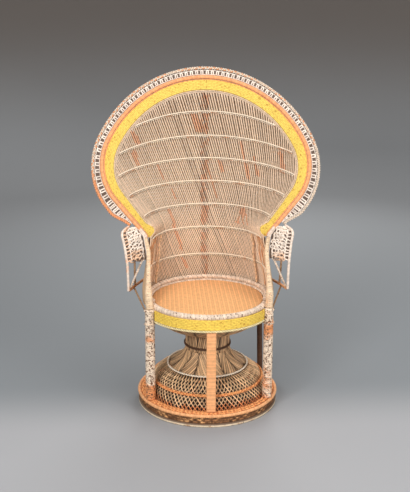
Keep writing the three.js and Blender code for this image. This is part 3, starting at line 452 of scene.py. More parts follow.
def worn_paint_group():
    group = bpy.data.node_groups.new("worn paint on cane", "ShaderNodeTree")
    face = group.interface
    for label in COLOURS:
        face.new_socket(label, in_out="INPUT", socket_type="NodeSocketColor")
    for label in STRAND_VALUES + SETTINGS:
        face.new_socket(label, in_out="INPUT", socket_type="NodeSocketFloat")
    face.new_socket("Color", in_out="OUTPUT", socket_type="NodeSocketColor")
    face.new_socket("Roughness", in_out="OUTPUT", socket_type="NodeSocketFloat")
    face.new_socket("Height", in_out="OUTPUT", socket_type="NodeSocketFloat")
    nodes, links = group.nodes, group.links
    given = nodes.new("NodeGroupInput").outputs
    result = nodes.new("NodeGroupOutput").inputs
    place = nodes.new("ShaderNodeTexCoord").outputs["Object"]

    def feed(socket, value):
        """Set a socket to a number, or link it to another node's output."""
        if isinstance(value, (int, float)):
            socket.default_value = value
        else:
            links.new(value, socket)

    def noise(scale, detail, distortion=0.0):
        node = nodes.new("ShaderNodeTexNoise")
        links.new(place, node.inputs["Vector"])
        node.inputs["Detail"].default_value = detail
        node.inputs["Distortion"].default_value = distortion
        feed(node.inputs["Scale"], scale)
        return node.outputs["Fac"]

    def sums(kind, a, b):
        node = nodes.new("ShaderNodeMath")
        node.operation = kind
        feed(node.inputs[0], a)
        feed(node.inputs[1], b)
        return node.outputs[0]

    plus, minus, times = (partial(sums, kind) for kind in ("ADD", "SUBTRACT", "MULTIPLY"))

    def ramp(value, start, end, low_value=0.0, high_value=1.0):
        node = nodes.new("ShaderNodeMapRange")
        node.interpolation_type = "SMOOTHSTEP"
        links.new(value, node.inputs["Value"])
        feed(node.inputs["From Min"], start)
        feed(node.inputs["From Max"], end)
        feed(node.inputs["To Min"], low_value)
        feed(node.inputs["To Max"], high_value)
        return node.outputs["Result"]

    def blend(share, a, b):
        node = nodes.new("ShaderNodeMix")
        node.data_type = "RGBA"
        links.new(share, node.inputs["Factor"])
        links.new(a, node.inputs[6])
        links.new(b, node.inputs[7])
        return node.outputs[2]

    def shade(colour, amount):
        node = nodes.new("ShaderNodeHueSaturation")
        links.new(colour, node.inputs["Color"])
        links.new(amount, node.inputs["Value"])
        return node.outputs["Color"]

    patches = noise(given["Patch size"], 3, 0.4)
    flecks = noise(FLECK_SCALE, 2)
    fibres = noise(FIBRE_SCALE, 2)
    rub = plus(times(patches, 0.62), times(flecks, 0.38))
    rub = plus(rub, times(given["Crest"], 0.06))
    rub = plus(rub, times(given["Worn"], 0.6))
    edge = minus(0.86, times(given["Wear"], 0.5))
    bare = ramp(rub, edge, plus(edge, 0.07))
    spread = times(minus(given["Tone"], 0.5), given["Tone range"])
    cloud = times(minus(noise(CLOUD_SCALE, 4), 0.5), 0.5)
    bright = plus(1.0, plus(spread, cloud))
    body = shade(blend(bare, given["Paint"], given["Cane"]), bright)
    speck_edge = minus(0.8, times(given["Specks"], 0.4))
    speck = ramp(noise(given["Speck size"], 3, 0.8), speck_edge, plus(speck_edge, 0.05))
    body = blend(speck, body, given["Hollow"])
    # Painted shade: where the crest is low, between and under strands, the colour goes towards the
    # hollow colour.
    deep = times(ramp(given["Crest"], 0.0, 0.6, 1.0, 0.0), given["Painted shade depth"])
    links.new(blend(deep, body, given["Hollow"]), result["Color"])
    links.new(plus(0.5, times(flecks, 0.3)), result["Roughness"])
    layers = plus(times(fibres, 0.5), times(bare, -0.6))
    links.new(plus(layers, times(speck, -0.5)), result["Height"])
    return group


WORN_PAINT = worn_paint_group()
print("worn paint group has", len(WORN_PAINT.nodes), "nodes")


# %% Mix a finish from the group
def shade_of(red, green, blue):
    """A colour given as it looks on a screen, from 0 to 255, as the shader wants it."""
    shares = (red / 255, green / 255, blue / 255)
    return tuple(((c + 0.055) / 1.055) ** 2.4 if c > 0.04 else c / 12.92 for c in shares) + (1.0,)


CANE = (228, 146, 94)
BROWN = (92, 58, 38)


def finish(
    name,
    paint,
    cane=CANE,
    hollow=BROWN,
    wear=0.3,
    specks=0.1,
    speck_size=150.0,
    patch=22.0,
    depth=0.85,
    tones=0.25,
):
    """Worn paint with painted shade in the hollows.

    Hollow is the colour of the specks and of the painted shade, depth says how dark that shade
    gets and tones how far strands differ.
    """
    material = bpy.data.materials.new(name)
    material.use_nodes = True
    nodes, links = material.node_tree.nodes, material.node_tree.links
    shader = nodes["Principled BSDF"]
    group = nodes.new("ShaderNodeGroup")
    group.node_tree = WORN_PAINT
    for label, colour in zip(COLOURS, (paint, cane, hollow)):
        group.inputs[label].default_value = shade_of(*colour)
    for label, number in zip(SETTINGS, (wear, specks, speck_size, patch, depth, tones)):
        group.inputs[label].default_value = number
    for label in STRAND_VALUES:
        attribute = nodes.new("ShaderNodeAttribute")
        attribute.attribute_name = label.lower()
        links.new(attribute.outputs["Fac"], group.inputs[label])
    relief = nodes.new("ShaderNodeBump")
    relief.inputs["Strength"].default_value = 0.35
    relief.inputs["Distance"].default_value = 0.0006
    links.new(group.outputs["Height"], relief.inputs["Height"])
    links.new(group.outputs["Color"], shader.inputs["Base Color"])
    links.new(group.outputs["Roughness"], shader.inputs["Roughness"])
    links.new(relief.outputs["Normal"], shader.inputs["Normal"])
    shader.inputs["Specular IOR Level"].default_value = 0.3
    return material


# %% Mix the pale and orange finishes
# The dark of the specks and of the painted shade on the white loops and wings.
SPECK_AND_SHADE_BROWN = (88, 66, 52)
cream_wrap = finish("cream wrap", (236, 213, 190), hollow=(112, 78, 56), wear=0.34, specks=0.48)
post_wrap = finish(
    "cream post wrap", (240, 210, 174), cane=(236, 172, 122), hollow=(136, 96, 66), wear=0.45,
    specks=0.44,
)
white_loops = finish(
    "white loops", (250, 234, 218), cane=(242, 200, 166), hollow=SPECK_AND_SHADE_BROWN, wear=0.3, specks=0.2,
    depth=0.95,
)
leg_wrap = finish(
    "speckled leg wrap", (249, 226, 200), cane=(238, 158, 102), hollow=(120, 82, 58), wear=0.5,
    specks=0.66, speck_size=125.0, patch=16.0,
)
orange_wrap = finish(
    "orange wrap", (252, 184, 128), cane=(240, 158, 104), hollow=(190, 116, 72), wear=0.3,
    depth=0.6,
)
pole_wrap = finish(
    "cream and orange pole wrap", (242, 222, 204), cane=(246, 172, 118), hollow=(176, 108, 68),
    wear=0.1, depth=0.6,
)
arm_wrap = finish(
    "brown arm wrap", (178, 142, 108), cane=(236, 168, 116), hollow=(70, 42, 28), wear=0.4,
    specks=0.5,
)
orange_braid = finish(
    "orange braid", (255, 182, 116), cane=(214, 126, 76), hollow=(156, 84, 48), wear=0.15,
    tones=0.3, depth=1.0,
)
rim_braid = finish(
    "rim braid", (232, 212, 190), cane=(244, 168, 116), hollow=(92, 66, 50), wear=0.15, tones=0.25,
    depth=1.0,
)

# %% Mix the yellow, tan and dark finishes
plait_wear = dict(wear=0.35, specks=0.5, speck_size=120.0, tones=0.2, depth=0.6)
yellow_plait = finish(
    "yellow plait", (245, 212, 100), (250, 208, 116), (196, 146, 58), **plait_wear
)
# The apron's plait is the yellow plait painted a little lighter, as painted light for the weaker
# light on it.
apron_plait = finish("apron plait painted lighter", (255, 220, 96), (255, 214, 116), (206, 150, 58), **plait_wear)
yellow_rope = finish(
    "pale yellow rope", (250, 234, 180), cane=(240, 206, 136), hollow=(150, 110, 60), wear=0.35
)
brown_plait = finish(
    "brown plait", (138, 94, 60), cane=(224, 168, 112), hollow=(40, 22, 14), wear=0.62, patch=30.0,
    tones=0.9,
)
tan_stakes = finish(
    "tan stakes", (236, 207, 178), cane=(240, 182, 144), hollow=(92, 62, 42), wear=0.12,
    specks=0.24, patch=30.0, tones=0.22,
)
hoop_cane = finish(
    "pale hoop cane", (255, 238, 214), cane=(236, 178, 134), hollow=(88, 58, 40), wear=0.35
)
stay_wrap = finish(
    "tan stay wrap", (230, 190, 150), cane=(218, 150, 102), hollow=(104, 64, 40), wear=0.35,
    tones=0.5,
)
rear_stakes = finish(
    "rear stakes", (212, 176, 138), cane=(206, 140, 96), hollow=(52, 31, 20), wear=0.2, tones=0.4
)
lattice_cane = finish(
    "lattice cane", (242, 200, 154), cane=(226, 146, 94), hollow=(36, 21, 13), wear=0.42,
    tones=0.7, depth=1.0,
)
pedestal_cane = finish(
    "pedestal cane", (208, 168, 126), cane=(206, 138, 92), hollow=(48, 31, 20), wear=0.25,
    tones=0.75, depth=1.0,
)
seat_plait = finish(
    "seat plait", (250, 190, 130), cane=(242, 170, 108), hollow=(196, 122, 72), wear=0.3,
    specks=0.0, patch=8.0, depth=0.75, tones=0.24,
)
dark_cane = finish(
    "dark cane", (92, 64, 46), cane=(160, 118, 84), hollow=(40, 26, 20), wear=0.35, specks=0.2
)
foot_cane = finish("worn foot cane", (244, 222, 190), cane=(196, 148, 106), wear=0.5, specks=0.4)
print(len(bpy.data.materials), "materials")

# %% [markdown]
# ## The base
#
# Four rings make the base: a plain pale foot hoop, a brown plaited band, a wrapped top hoop, and
# two braids side by side inside it, on which the legs stand. Rings are closed paths, so each is a
# tube or skin round a circle, with a whole number of turns or stakes so that the join doesn't
# show.

# %% Make the base
FOOT_TUBE = 7
FOOT_RADIUS = 284
BAND_OUTER = 284
BAND_BOTTOM = 14.3
BAND_HEIGHT = 27
BAND_SWELL = 2.0
BAND_WALL = 6
TOP_HOOP_RADIUS = 287
TOP_HOOP_TUBE = 7
BRAID_OUTER = TOP_HOOP_RADIUS - TOP_HOOP_TUBE - CLEARANCE
BRAID_BOTTOM = BAND_BOTTOM + BAND_HEIGHT + CLEARANCE
BRAID_MIDDLE = BRAID_BOTTOM + 7.5
BRAID_INSETS = (6.8, 20.2)


def turned(profile, count, swell=0.0):
    """A closed profile of radius and height, turned about the upright axis."""
    profile = np.asarray(profile, float)
    turn = np.broadcast_to(once_round(count)[:, None], (count, len(profile)))
    return arc(profile[:, 0] + swell, profile[:, 1], turn)


def squared(wave, power):
    """A sine or cosine pulled towards its ends, which turns a round section into a boxy one."""
    return np.sign(wave) * np.abs(wave) ** power


foot = Strands()
corner = np.linspace(0, 2 * math.pi, 17)[:-1]
across, up = squared(np.cos(corner), 0.7), squared(np.sin(corner), 0.7)
foot_section = np.stack([FOOT_RADIUS + FOOT_TUBE * across, FOOT_TUBE + FOOT_TUBE * up], -1)
under = 1 - smooth(-0.1, 0.45, np.sin(corner))
foot.skin(turned(foot_section, 160), closed=True, crest=under)
foot.make("foot_hoop_cane", foot_cane, "base_foot_hoop")

band = Strands()
stakes, steps, weavers, places = 112, 6, 3, 26
rows = np.linspace(0, weavers, places)
turn_along = np.arange(stakes * steps) / steps
crest = plait(turn_along[:, None], rows[None, :], 1, 1)
tone = (np.floor(turn_along[:, None] + 0.5) * 0.618 + np.floor(rows) * 0.37) % 1
wall = BAND_OUTER - BAND_WALL
heights = BAND_BOTTOM + rows * BAND_HEIGHT / weavers
face = np.stack([np.full(places, BAND_OUTER - BAND_SWELL), heights], -1)
profile = np.vstack([face, [[wall, BAND_BOTTOM + BAND_HEIGHT], [wall, BAND_BOTTOM]]])
plain = np.zeros((len(crest), 2))
crest, tone = np.hstack([crest, plain]), np.hstack([tone, plain])
skin = turned(profile, stakes * steps, BAND_SWELL * crest)
band.skin(skin, closed=True, crest=crest, tone=tone)
band.make("base_band_plait", brown_plait, "base_band")

hoop_line = circle(TOP_HOOP_RADIUS, BRAID_BOTTOM + TOP_HOOP_TUBE - 1)
top_hoop = ("top_hoop_wrap", orange_wrap, "base_top_hoop")
single(wrapped, *top_hoop, hoop_line, TOP_HOOP_TUBE, 8, 1.4, closed=True)


def one_dark(share, strand):
    """One strand in three has lost its paint and is darker."""
    return 0.55 * (strand == 1) + 0 * share


braid = Strands()
for inset in BRAID_INSETS:
    braid_line = circle(BRAID_OUTER - inset, BRAID_MIDDLE, 480)
    braided(braid, braid_line, 3.9, 4.0, strand=3.3, period=34, closed=True, worn=one_dark)
braid.make("base_rim_braids", orange_braid, "base_braid")

# %% [markdown]
# ## The pedestal
#
# Two layers of thin canes lean opposite ways and cross into diamonds, tied by two rings. The real
# chair has some ninety canes in each layer, five times as many as the CAD solid, so they are made
# one by one on the same surface: a steep lower part and a dome above the lower ring. Their inner
# sides carry painted shade, and the inner layer is painted darker low down, so the inside looks
# deep through the diamonds.

# %% Make the lattice
LATTICE_HEIGHTS = np.array([BRAID_BOTTOM + 6, 106, 157])
LATTICE_RADII = np.array([248, 224, 164])
LATTICE_BULGES = np.array([6, 17])
LATTICE_TURN = math.radians(21)
LATTICE_CANES = 86
LATTICE_CANE, LATTICE_RING = 2.1, 2.2
LAYER_STEP = 6
lattice_rise = LATTICE_HEIGHTS[2] - LATTICE_HEIGHTS[0]
waist_share = (LATTICE_HEIGHTS[1] - LATTICE_HEIGHTS[0]) / lattice_rise


def lattice_line(share):
    """Radius, height and slope of the lattice at shares of its rise."""
    height = LATTICE_HEIGHTS[0] + np.asarray(share, float) * lattice_rise
    part = np.where(height > LATTICE_HEIGHTS[1], 1, 0)
    low, high = LATTICE_HEIGHTS[part], LATTICE_HEIGHTS[part + 1]
    start, end = LATTICE_RADII[part], LATTICE_RADII[part + 1]
    step = (height - low) / (high - low)
    radius = start + (end - start) * step + LATTICE_BULGES[part] * np.sin(math.pi * step)
    bend = LATTICE_BULGES[part] * math.pi * np.cos(math.pi * step)
    slope = (end - start + bend) / (high - low)
    return radius, height, slope


def lattice_spot(share, offset):
    radius, height, slope = lattice_line(share)
    reach = np.hypot(1, slope)
    return radius + offset / reach, height - offset * slope / reach


wander = random.Random(7)


def lattice_layer(name, inset, lean, node):
    layer = Strands()
    shares = np.linspace(0, 1, 15)
    radius, height = lattice_spot(shares, -inset)
    # Painted shade: each cane is dark on its inner side, and the inner layer is darker low down,
    # where lit is low.
    inner_side_shade = np.clip(0.5 + 0.6 * np.sin(once_round(6)), 0, 1)
    lit = 1.0 if inset == 0 else 0.42 + 0.45 * smooth(waist_share, 1, shares)[:, None]
    worn = 0.4 * (1 - smooth(0.05, 0.35, shares))[:, None]
    for i in range(LATTICE_CANES):
        start = (i / LATTICE_CANES + wander.uniform(-0.0006, 0.0006)) * 2 * math.pi
        angle = start + lean * shares * LATTICE_TURN
        path = arc(radius, height, angle)
        outwards = unit(path * [1, 1, 0])
        cane = tube(path, LATTICE_CANE + inset / 9, 6, outwards)
        layer.skin(cane, tone=wander.random(), worn=worn, crest=inner_side_shade * lit)
    ring_radius, ring_height = lattice_spot(0, -inset)
    foot_ring = tube(circle(ring_radius, ring_height, 160), LATTICE_RING, 6, closed=True)
    layer.skin(foot_ring, closed=True, worn=0.5)
    layer.make(name, lattice_cane, node)


lattice_layer("pedestal_front_canes", 0, -1, "pedestal_outer_lattice")
lattice_layer("pedestal_inner_canes", LAYER_STEP, 1, "pedestal_inner_lattice")

# %% Tie the lattice with rings
LOWER_RING_OUT, UPPER_RING_OUT = 7, 7.6
radius, height = lattice_spot(waist_share, LOWER_RING_OUT)
ring_line = circle(radius + 1, height, 300)
outwards = unit(ring_line * [1, 1, 0])
shape = (4.6, 1.8, 2.6, 26, outwards)
lower_ring = ("lower_ring_rope", orange_braid, "pedestal_lower_ring")
single(braided, *lower_ring, ring_line, *shape, closed=True, worn=one_dark)
ring_line = circle(*lattice_spot(1, UPPER_RING_OUT), 300)
upper_ring = ("upper_ring_rope", hoop_cane, "pedestal_upper_ring")
single(braided, *upper_ring, ring_line, 1.6, 1.6, 2.4, 22, closed=True, count=2, bows=1)

# %% [markdown]
# ## Skirt, neck and bowl
#
# Above the upper ring the canes run up close together into the neck, and above the dark band they
# spread again into the bowl under the seat. Groups of canes lean left and right by turns, like
# pleats. One closed skin per part carries them as ridges, because no light passes between them.

# %% Make the close canes of skirt, neck and bowl
NECK_RADIUS = 93
NECK_BOTTOM, NECK_TOP = 232, 302
WEAVE = 8
BOWL_RADIUS = 236
RIM_TOP = SEAT_HEIGHT - 2 * SEAT_HOOP_TUBE - CLEARANCE


def close_canes(name, outer, canes, groups, lean, depth, node):
    """A wall of ridged canes, given by its outer line of radius and height from the bottom up."""
    outer = np.asarray(outer, float)
    share = np.linspace(0, 1, len(outer))[None, :]
    count = canes * 5
    turn = (np.arange(count) / count)[:, None]
    group = np.floor(turn * groups)
    way = np.where(group % 2 == 0, 1.0, -1.0)
    phase = canes * (turn + way * lean * (share - 0.5))
    within = np.abs((turn * groups) % 1 - 0.5) * 2
    gape = 0.35 + 0.65 * np.abs(np.sin(math.pi * (share + 0.25 * way)))
    # Painted shade in the partings between pleats: the crest falls there, so the canes sink and
    # the finish darkens them.
    parting = smooth(0.55, 1.0, within) * gape
    crest = np.abs(np.sin(math.pi * phase)) ** 1.4 * (1 - 0.9 * parting)
    inner = (outer - [WEAVE - 1, 0])[::-1]
    swell = np.hstack([-depth * (1 - crest), np.zeros((count, len(inner)))])
    values = np.hstack([crest, np.zeros((count, len(inner)))])
    tone = (np.floor(phase) * 0.618 + 0.37 * group) % 1
    tone = np.hstack([tone, np.full((count, len(inner)), 0.5)])
    wall = Strands()
    rows = turned(np.vstack([outer, inner]), count, swell)
    wall.skin(rows, closed=True, crest=values, tone=tone)
    wall.make(name, pedestal_cane, node)


def flare(foot, top, hollow, count=16):
    """A line from a foot to a top, both radius and height, that sags inwards by hollow."""
    share = np.linspace(0, 1, count)
    radius = foot[0] + (top[0] - foot[0]) * share - hollow * np.sin(math.pi * share)
    return np.stack([radius, foot[1] + (top[1] - foot[1]) * share], -1)


skirt_low, skirt_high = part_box("pedestal_skirt")
skirt_foot = (skirt_high.x - skirt_low.x) / 2 / MM
neck_bottom, neck_top = (NECK_RADIUS, NECK_BOTTOM), (NECK_RADIUS, NECK_TOP)
skirt_top = (NECK_RADIUS + 1, NECK_BOTTOM - CLEARANCE)
skirt_line = flare((skirt_foot, skirt_low.z / MM), skirt_top, hollow=15)
close_canes("skirt_canes", skirt_line, 78, 15, 0.06, 3.8, "pedestal_skirt")
close_canes("neck_canes", flare(neck_bottom, neck_top, 0), 72, 12, 0.02, 2.6, "pedestal_neck")
bowl_foot, bowl_edge = (NECK_RADIUS + 1, NECK_TOP + CLEARANCE), (BOWL_RADIUS, RIM_TOP - 44)
bowl_rim = [(BOWL_RADIUS, RIM_TOP - drop) for drop in (30, 15, 0)]
bowl_line = np.vstack([flare(bowl_foot, bowl_edge, -24, 22), bowl_rim])
close_canes("bowl_canes", bowl_line, 130, 20, 0.09, 3.6, "seat_bowl")
BELT_ROPE = 2.9
belt_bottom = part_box("pedestal_waist_band")[0].z / MM
belt = Strands()
for rise in (BELT_ROPE, BELT_ROPE + 5.2):
    belt_line = circle(NECK_RADIUS + BELT_ROPE, belt_bottom + rise, 200)
    braided(belt, belt_line, 1.0, 1.0, strand=1.8, period=16, closed=True, count=2, bows=1)
belt.make("waist_band_ropes", dark_cane, "pedestal_waist_band")

# %% [markdown]
# ## Legs and posts
#
# Two thick front legs are wound with flat cane, painted pale and worn to specks, and go on above
# the seat as the posts that carry the fan's pole. The rear legs are thinner, and their dark finish
# is painted shade. The flat post at the front centre is two thin canes wound together.


# %% Make legs and posts
def catmull(points, count):
    """The centripetal curve through points that the CAD source also uses."""
    points = [np.asarray(p, float) for p in points]
    points = [2 * points[0] - points[1]] + points + [2 * points[-1] - points[-2]]
    spans = len(points) - 3
    made = []
    for t in np.linspace(0, spans, count):
        k = min(int(t), spans - 1)
        w = t - k
        near = points[k : k + 4]
        p0, p1, p2, p3 = near
        d0, d1, d2 = (max(np.linalg.norm(b - a) ** 0.5, 1e-4) for a, b in zip(near, near[1:]))
        t1 = ((p1 - p0) / d0 - (p2 - p0) / (d0 + d1) + (p2 - p1) / d1) * d1
        t2 = ((p2 - p1) / d1 - (p3 - p1) / (d1 + d2) + (p3 - p2) / d2) * d1
        square, cube = -3 * p1 + 3 * p2 - 2 * t1 - t2, 2 * p1 - 2 * p2 + t1 + t2
        made.append(p1 + t1 * w + square * w**2 + cube * w**3)
    return np.array(made)


LEG_FOOT = BRAID_BOTTOM + 15 + CLEARANCE
LEG_RADIUS, LEG_TOP_RADIUS = 20.5, 19.5
COLLAR_DROPS = (6, 62)
REAR_RADIUS = 12
REAR_FOOT_PLACE, REAR_TOP_PLACE = (238, 122), (228, 112)
POST_FOOT = LEG_TOP + CLEARANCE
POST_RADIUS, POST_TAPER = 13, 110
BOUND_RADIUS, BOUND_SWELL = 9.5, 6.5
FACET_ROOM = 1.2


def post_curve(side, count=60):
    top = fan_point(side * throat_end, pole_offset(throat_end))
    marks = [
        (side * LEG_X, -LEG_FORWARD, POST_FOOT),
        (side * 243, -114, POST_FOOT + 55),
        (side * 243, -66, POST_FOOT + 115),
        (side * 243, 8, POST_FOOT + 196),
        (top[0], top[1], top[2] - FACET_ROOM - POLE / 2),
        (top[0], top[1], top[2] - FACET_ROOM),
    ]
    return catmull(marks, count)


def post_radius(height):
    return POST_RADIUS + (POLE - POST_RADIUS) * np.clip((height - POST_FOOT) / POST_TAPER, 0, 1)


def bound_radius(height):
    """The post with its binding, which is thick where it starts beside the seat."""
    return BOUND_RADIUS + BOUND_SWELL * (1 - smooth(POST_FOOT + 30, POST_FOOT + 130, height))


def left_leg_bare(share):
    """The left leg has lost its paint round the foot."""
    return 0.5 * (1 - smooth(0.1, 0.2, share))


def right_leg_bare(share):
    """The right leg is worn less: round the foot and, a little, from the middle up."""
    return 0.2 * (1 - smooth(0.1, 0.4, share)) + 0.1 * smooth(0.55, 0.7, share)


sides = {"left": -1, "right": 1}
for name, side in sides.items():
    leg = Strands()
    place = np.array([side * LEG_X, -LEG_FORWARD, 0])
    path = np.array([place + [0, 0, LEG_FOOT], place + [0, 0, LEG_TOP]])
    leg_bare = left_leg_bare if side < 0 else right_leg_bare
    wrapped(leg, path, (LEG_RADIUS, LEG_TOP_RADIUS), 9, 1.6, 16, BACK, worn=leg_bare)
    for drop in COLLAR_DROPS:
        collar = circle(LEG_RADIUS, LEG_TOP - drop, 40) + place
        wrapped(leg, collar, 3.2, 9, 0.8, 8, closed=True)
    leg.make(f"front_leg_wrap_{name}", leg_wrap, f"front_leg_{name}")
    (foot_x, foot_y), (top_x, top_y) = REAR_FOOT_PLACE, REAR_TOP_PLACE
    path = np.array([[side * foot_x, foot_y, LEG_FOOT], [side * top_x, top_y, LEG_TOP - 1]])
    # The rear legs' dark finish is painted shade.
    rear = (f"rear_leg_wrap_{name}", dark_cane, f"rear_leg_{name}")
    single(wrapped, *rear, path, REAR_RADIUS, 8, 1.0, 12, BACK)
    path = post_curve(side)
    post = (f"front_post_wrap_{name}", post_wrap, f"front_post_{name}")
    single(wrapped, *post, path, bound_radius(path[:, 2]), 8, 1.1, 12, BACK)

# %% Make the post at the front centre
CENTRE_HALF_WIDTH, CENTRE_HALF_DEPTH = 19, 7
CENTRE_FORWARD = 264
CENTRE_TURNS, TURN_STEPS = 60, 4
GROOVE = 0.6
centre = Strands()
post_low, post_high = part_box("centre_post")
places = np.arange(CENTRE_TURNS * TURN_STEPS + 1)
height = np.linspace(post_low.z / MM, post_high.z / MM, len(places))
ridge = np.abs(np.sin(math.pi * places / TURN_STEPS))[:, None] ** CANE_ROUNDING
corner = np.linspace(0, 2 * math.pi, 21)[:-1]
across = (CENTRE_HALF_WIDTH - GROOVE * (1 - ridge)) * squared(np.cos(corner), 0.35)
deep = (CENTRE_HALF_DEPTH - GROOVE * (1 - ridge)) * squared(np.sin(corner), 0.6)
level = np.broadcast_to(height[:, None], across.shape)
tone = (places // TURN_STEPS * 0.618) % 1
centre.skin(np.stack([across, deep - CENTRE_FORWARD, level], -1), crest=ridge, tone=tone[:, None])
centre.make("centre_post_wrap", orange_wrap, "centre_post")

# %% [markdown]
# ## The seat
#
# The sitting face is one close plait of flat natural cane in a thick wrapped hoop. The plait runs
# straight across the circle, so its sheet is a square grid cut to the circle, with the outermost
# points drawn onto it. A pale roll runs round the back of the seat.

# %% Make the seat's plait
PANEL_RADIUS = SEAT_HOOP_RADIUS - SEAT_HOOP_TUBE - CLEARANCE
PANEL_THICKNESS = 8
STRIP = 9.0
GRID = 2.25
PLAIT_RELIEF = 1.2


def panel_height(radius):
    """The sheet is flat in the middle and falls a little at its edge."""
    marks = [0, PANEL_RADIUS / 2, PANEL_RADIUS - 10, PANEL_RADIUS]
    return np.interp(radius, marks, [SEAT_HEIGHT, SEAT_HEIGHT, SEAT_HEIGHT - 2.5, SEAT_HEIGHT - 5])


def seat_sheet():
    half = math.ceil(PANEL_RADIUS / GRID)
    marks = np.arange(-half, half + 1) * GRID
    x, y = np.meshgrid(marks, marks, indexing="ij")
    far = np.hypot(x, y)
    keep = far < PANEL_RADIUS
    cells = keep[:-1, :-1] | keep[1:, :-1] | keep[:-1, 1:] | keep[1:, 1:]
    shrink = np.where(far > PANEL_RADIUS - GRID / 2, PANEL_RADIUS / np.maximum(far, 1), 1.0)
    x, y = x * shrink, y * shrink
    crest = plait(y, x, STRIP / 2, STRIP)
    crest = np.maximum(crest, 0.8 * plait(x, y + STRIP / 4, STRIP, STRIP / 2))
    z = panel_height(np.hypot(x, y)) - PLAIT_RELIEF * (1 - crest)
    index = np.full(far.shape, -1)
    used = np.zeros(far.shape, bool)
    for dx in (0, 1):
        for dy in (0, 1):
            used[dx : dx + cells.shape[0], dy : dy + cells.shape[1]] |= cells
    index[used] = np.arange(used.sum())
    i, j = np.nonzero(cells)
    faces = np.stack([index[i, j], index[i + 1, j], index[i + 1, j + 1], index[i, j + 1]], -1)
    points = np.stack([x[used], y[used] - SEAT_FORWARD, z[used]], -1)
    return points, faces, crest[used], x[used]


panel = Strands()
points, faces, crest, x = seat_sheet()
panel.points.append(points)
panel.faces.extend(faces.tolist())
tone = 0.5 + 0.28 * np.sign(np.sin(math.pi * x / STRIP)) - 1.1 * np.abs(x / PANEL_RADIUS) ** 3
panel.values.append(np.stack([crest, tone, 0 * crest], -1))
panel.count = len(points)
seat_piece = panel.make("seat_plait_sheet", seat_plait, "seat_panel")
backing = seat_piece.modifiers.new("thickness", "SOLIDIFY")
backing.thickness = PANEL_THICKNESS * MM
backing.offset = -1

# %% Wind the seat's hoop and roll
ROLL_TUBE = 9.5
ROLL_GAP = 2
hoop_line = circle(SEAT_HOOP_RADIUS, SEAT_HEIGHT - SEAT_HOOP_TUBE, 360, SEAT_FORWARD)
hoop = ("seat_hoop_wrap", cream_wrap, "seat_hoop")
single(wrapped, *hoop, hoop_line, SEAT_HOOP_TUBE - 0.2, 15, 2.2, 14, closed=True, steps=6)

roll_low, roll_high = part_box("seat_back_roll")
leg_angle = math.atan2(LEG_X, LEG_FORWARD - SEAT_FORWARD)
roll_radius = SEAT_HOOP_RADIUS + ROLL_GAP
roll_end = leg_angle + (POST_RADIUS + ROLL_TUBE) / roll_radius
turn = np.linspace(roll_end, 2 * math.pi - roll_end, 200)
roll_line = arc(roll_radius, (roll_low.z + roll_high.z) / 2 / MM, turn, SEAT_FORWARD)
roll = ("seat_back_roll_wrap", cream_wrap, "seat_back_roll")
single(wrapped, *roll, roll_line, ROLL_TUBE, 22, 2.4, 12, steps=6)

# %% [markdown]
# ## Apron
#
# A yellow plaited band runs round the front of the seat between the legs, over a pale twisted
# rope. It is the same plait as the fan's yellow border, bent round a circle instead of along an
# outline.


# %% Make the apron
PLAIT_PLACES, STAKE_PITCH, PLAIT_STRANDS = 31, 11, 6
APRON_GAP = 2.5
APRON_THICKNESS = 5
APRON_TOP = SEAT_HEIGHT - 18
APRON_BOTTOM = APRON_TOP - 42
RAIL_DROP = 5


def band_section(inner, outer, normal, thickness, relief):
    """Rows of closed sections of a plaited band between two edge lines."""
    along = lengths((inner + outer) / 2)[0]
    share = np.linspace(0, 1, PLAIT_PLACES)
    crest = plait(along[:, None] / STAKE_PITCH, share[None, :] * PLAIT_STRANDS, 1, 1)
    face = inner[:, None] + (outer - inner)[:, None] * share[None, :, None]
    half = (thickness / 2 - relief * (1 - crest))[..., None] * normal[:, None]
    rows = np.concatenate([face - half, (face + half)[:, ::-1]], 1)
    return rows, np.hstack([crest, crest[:, ::-1]])


apron_radius = SEAT_HOOP_RADIUS + SEAT_HOOP_TUBE + CLEARANCE + APRON_GAP
apron_end = leg_angle - (LEG_RADIUS + 2 * CLEARANCE) / apron_radius
turn = np.linspace(-apron_end, apron_end, 420)
inner_line = arc(apron_radius, APRON_BOTTOM, turn, SEAT_FORWARD)
outer_line = arc(apron_radius, APRON_TOP, turn, SEAT_FORWARD)
facing = -unit((inner_line + [0, SEAT_FORWARD, 0]) * [1, 1, 0])
rows, crest = band_section(inner_line, outer_line, facing, APRON_THICKNESS, relief=1.4)
apron = Strands()
apron.skin(rows, crest=crest)
apron.make("apron_plait", apron_plait, "apron_band")
rail = ("apron_rail_rope", yellow_rope, "apron_rail")
rail_line = arc(apron_radius, APRON_BOTTOM - CLEARANCE - RAIL_DROP, turn, SEAT_FORWARD)
single(braided, *rail, rail_line, 2.3, 2.3, strand=2.6, period=22, count=2, bows=1)

# %% [markdown]
# ## The fan's border
#
# Every border piece follows the outline at its own offset. The beads and the wrapped pole are
# tubes, the yellow band is the apron's plait, the loops are narrow arches of one cane each, and
# the rim is a braid of pale and orange canes that comes closer to the pole on its way down to the
# arm.


# %% Follow the outline
def along_outline(end, count, offset):
    distance = np.linspace(-end, end, count)
    path = fan_point(distance, offset(distance))
    return path, fan_facing(path[:, 2])


path, facing = along_outline(throat_end, 500, lambda d: BEAD + drop_at(d) - drop_bulge(d))
inner_bead = ("fan_inner_bead_wrap", post_wrap, "fan_inner_bead")
single(wrapped, *inner_bead, path, BEAD, 9, 1.3, 8, facing)

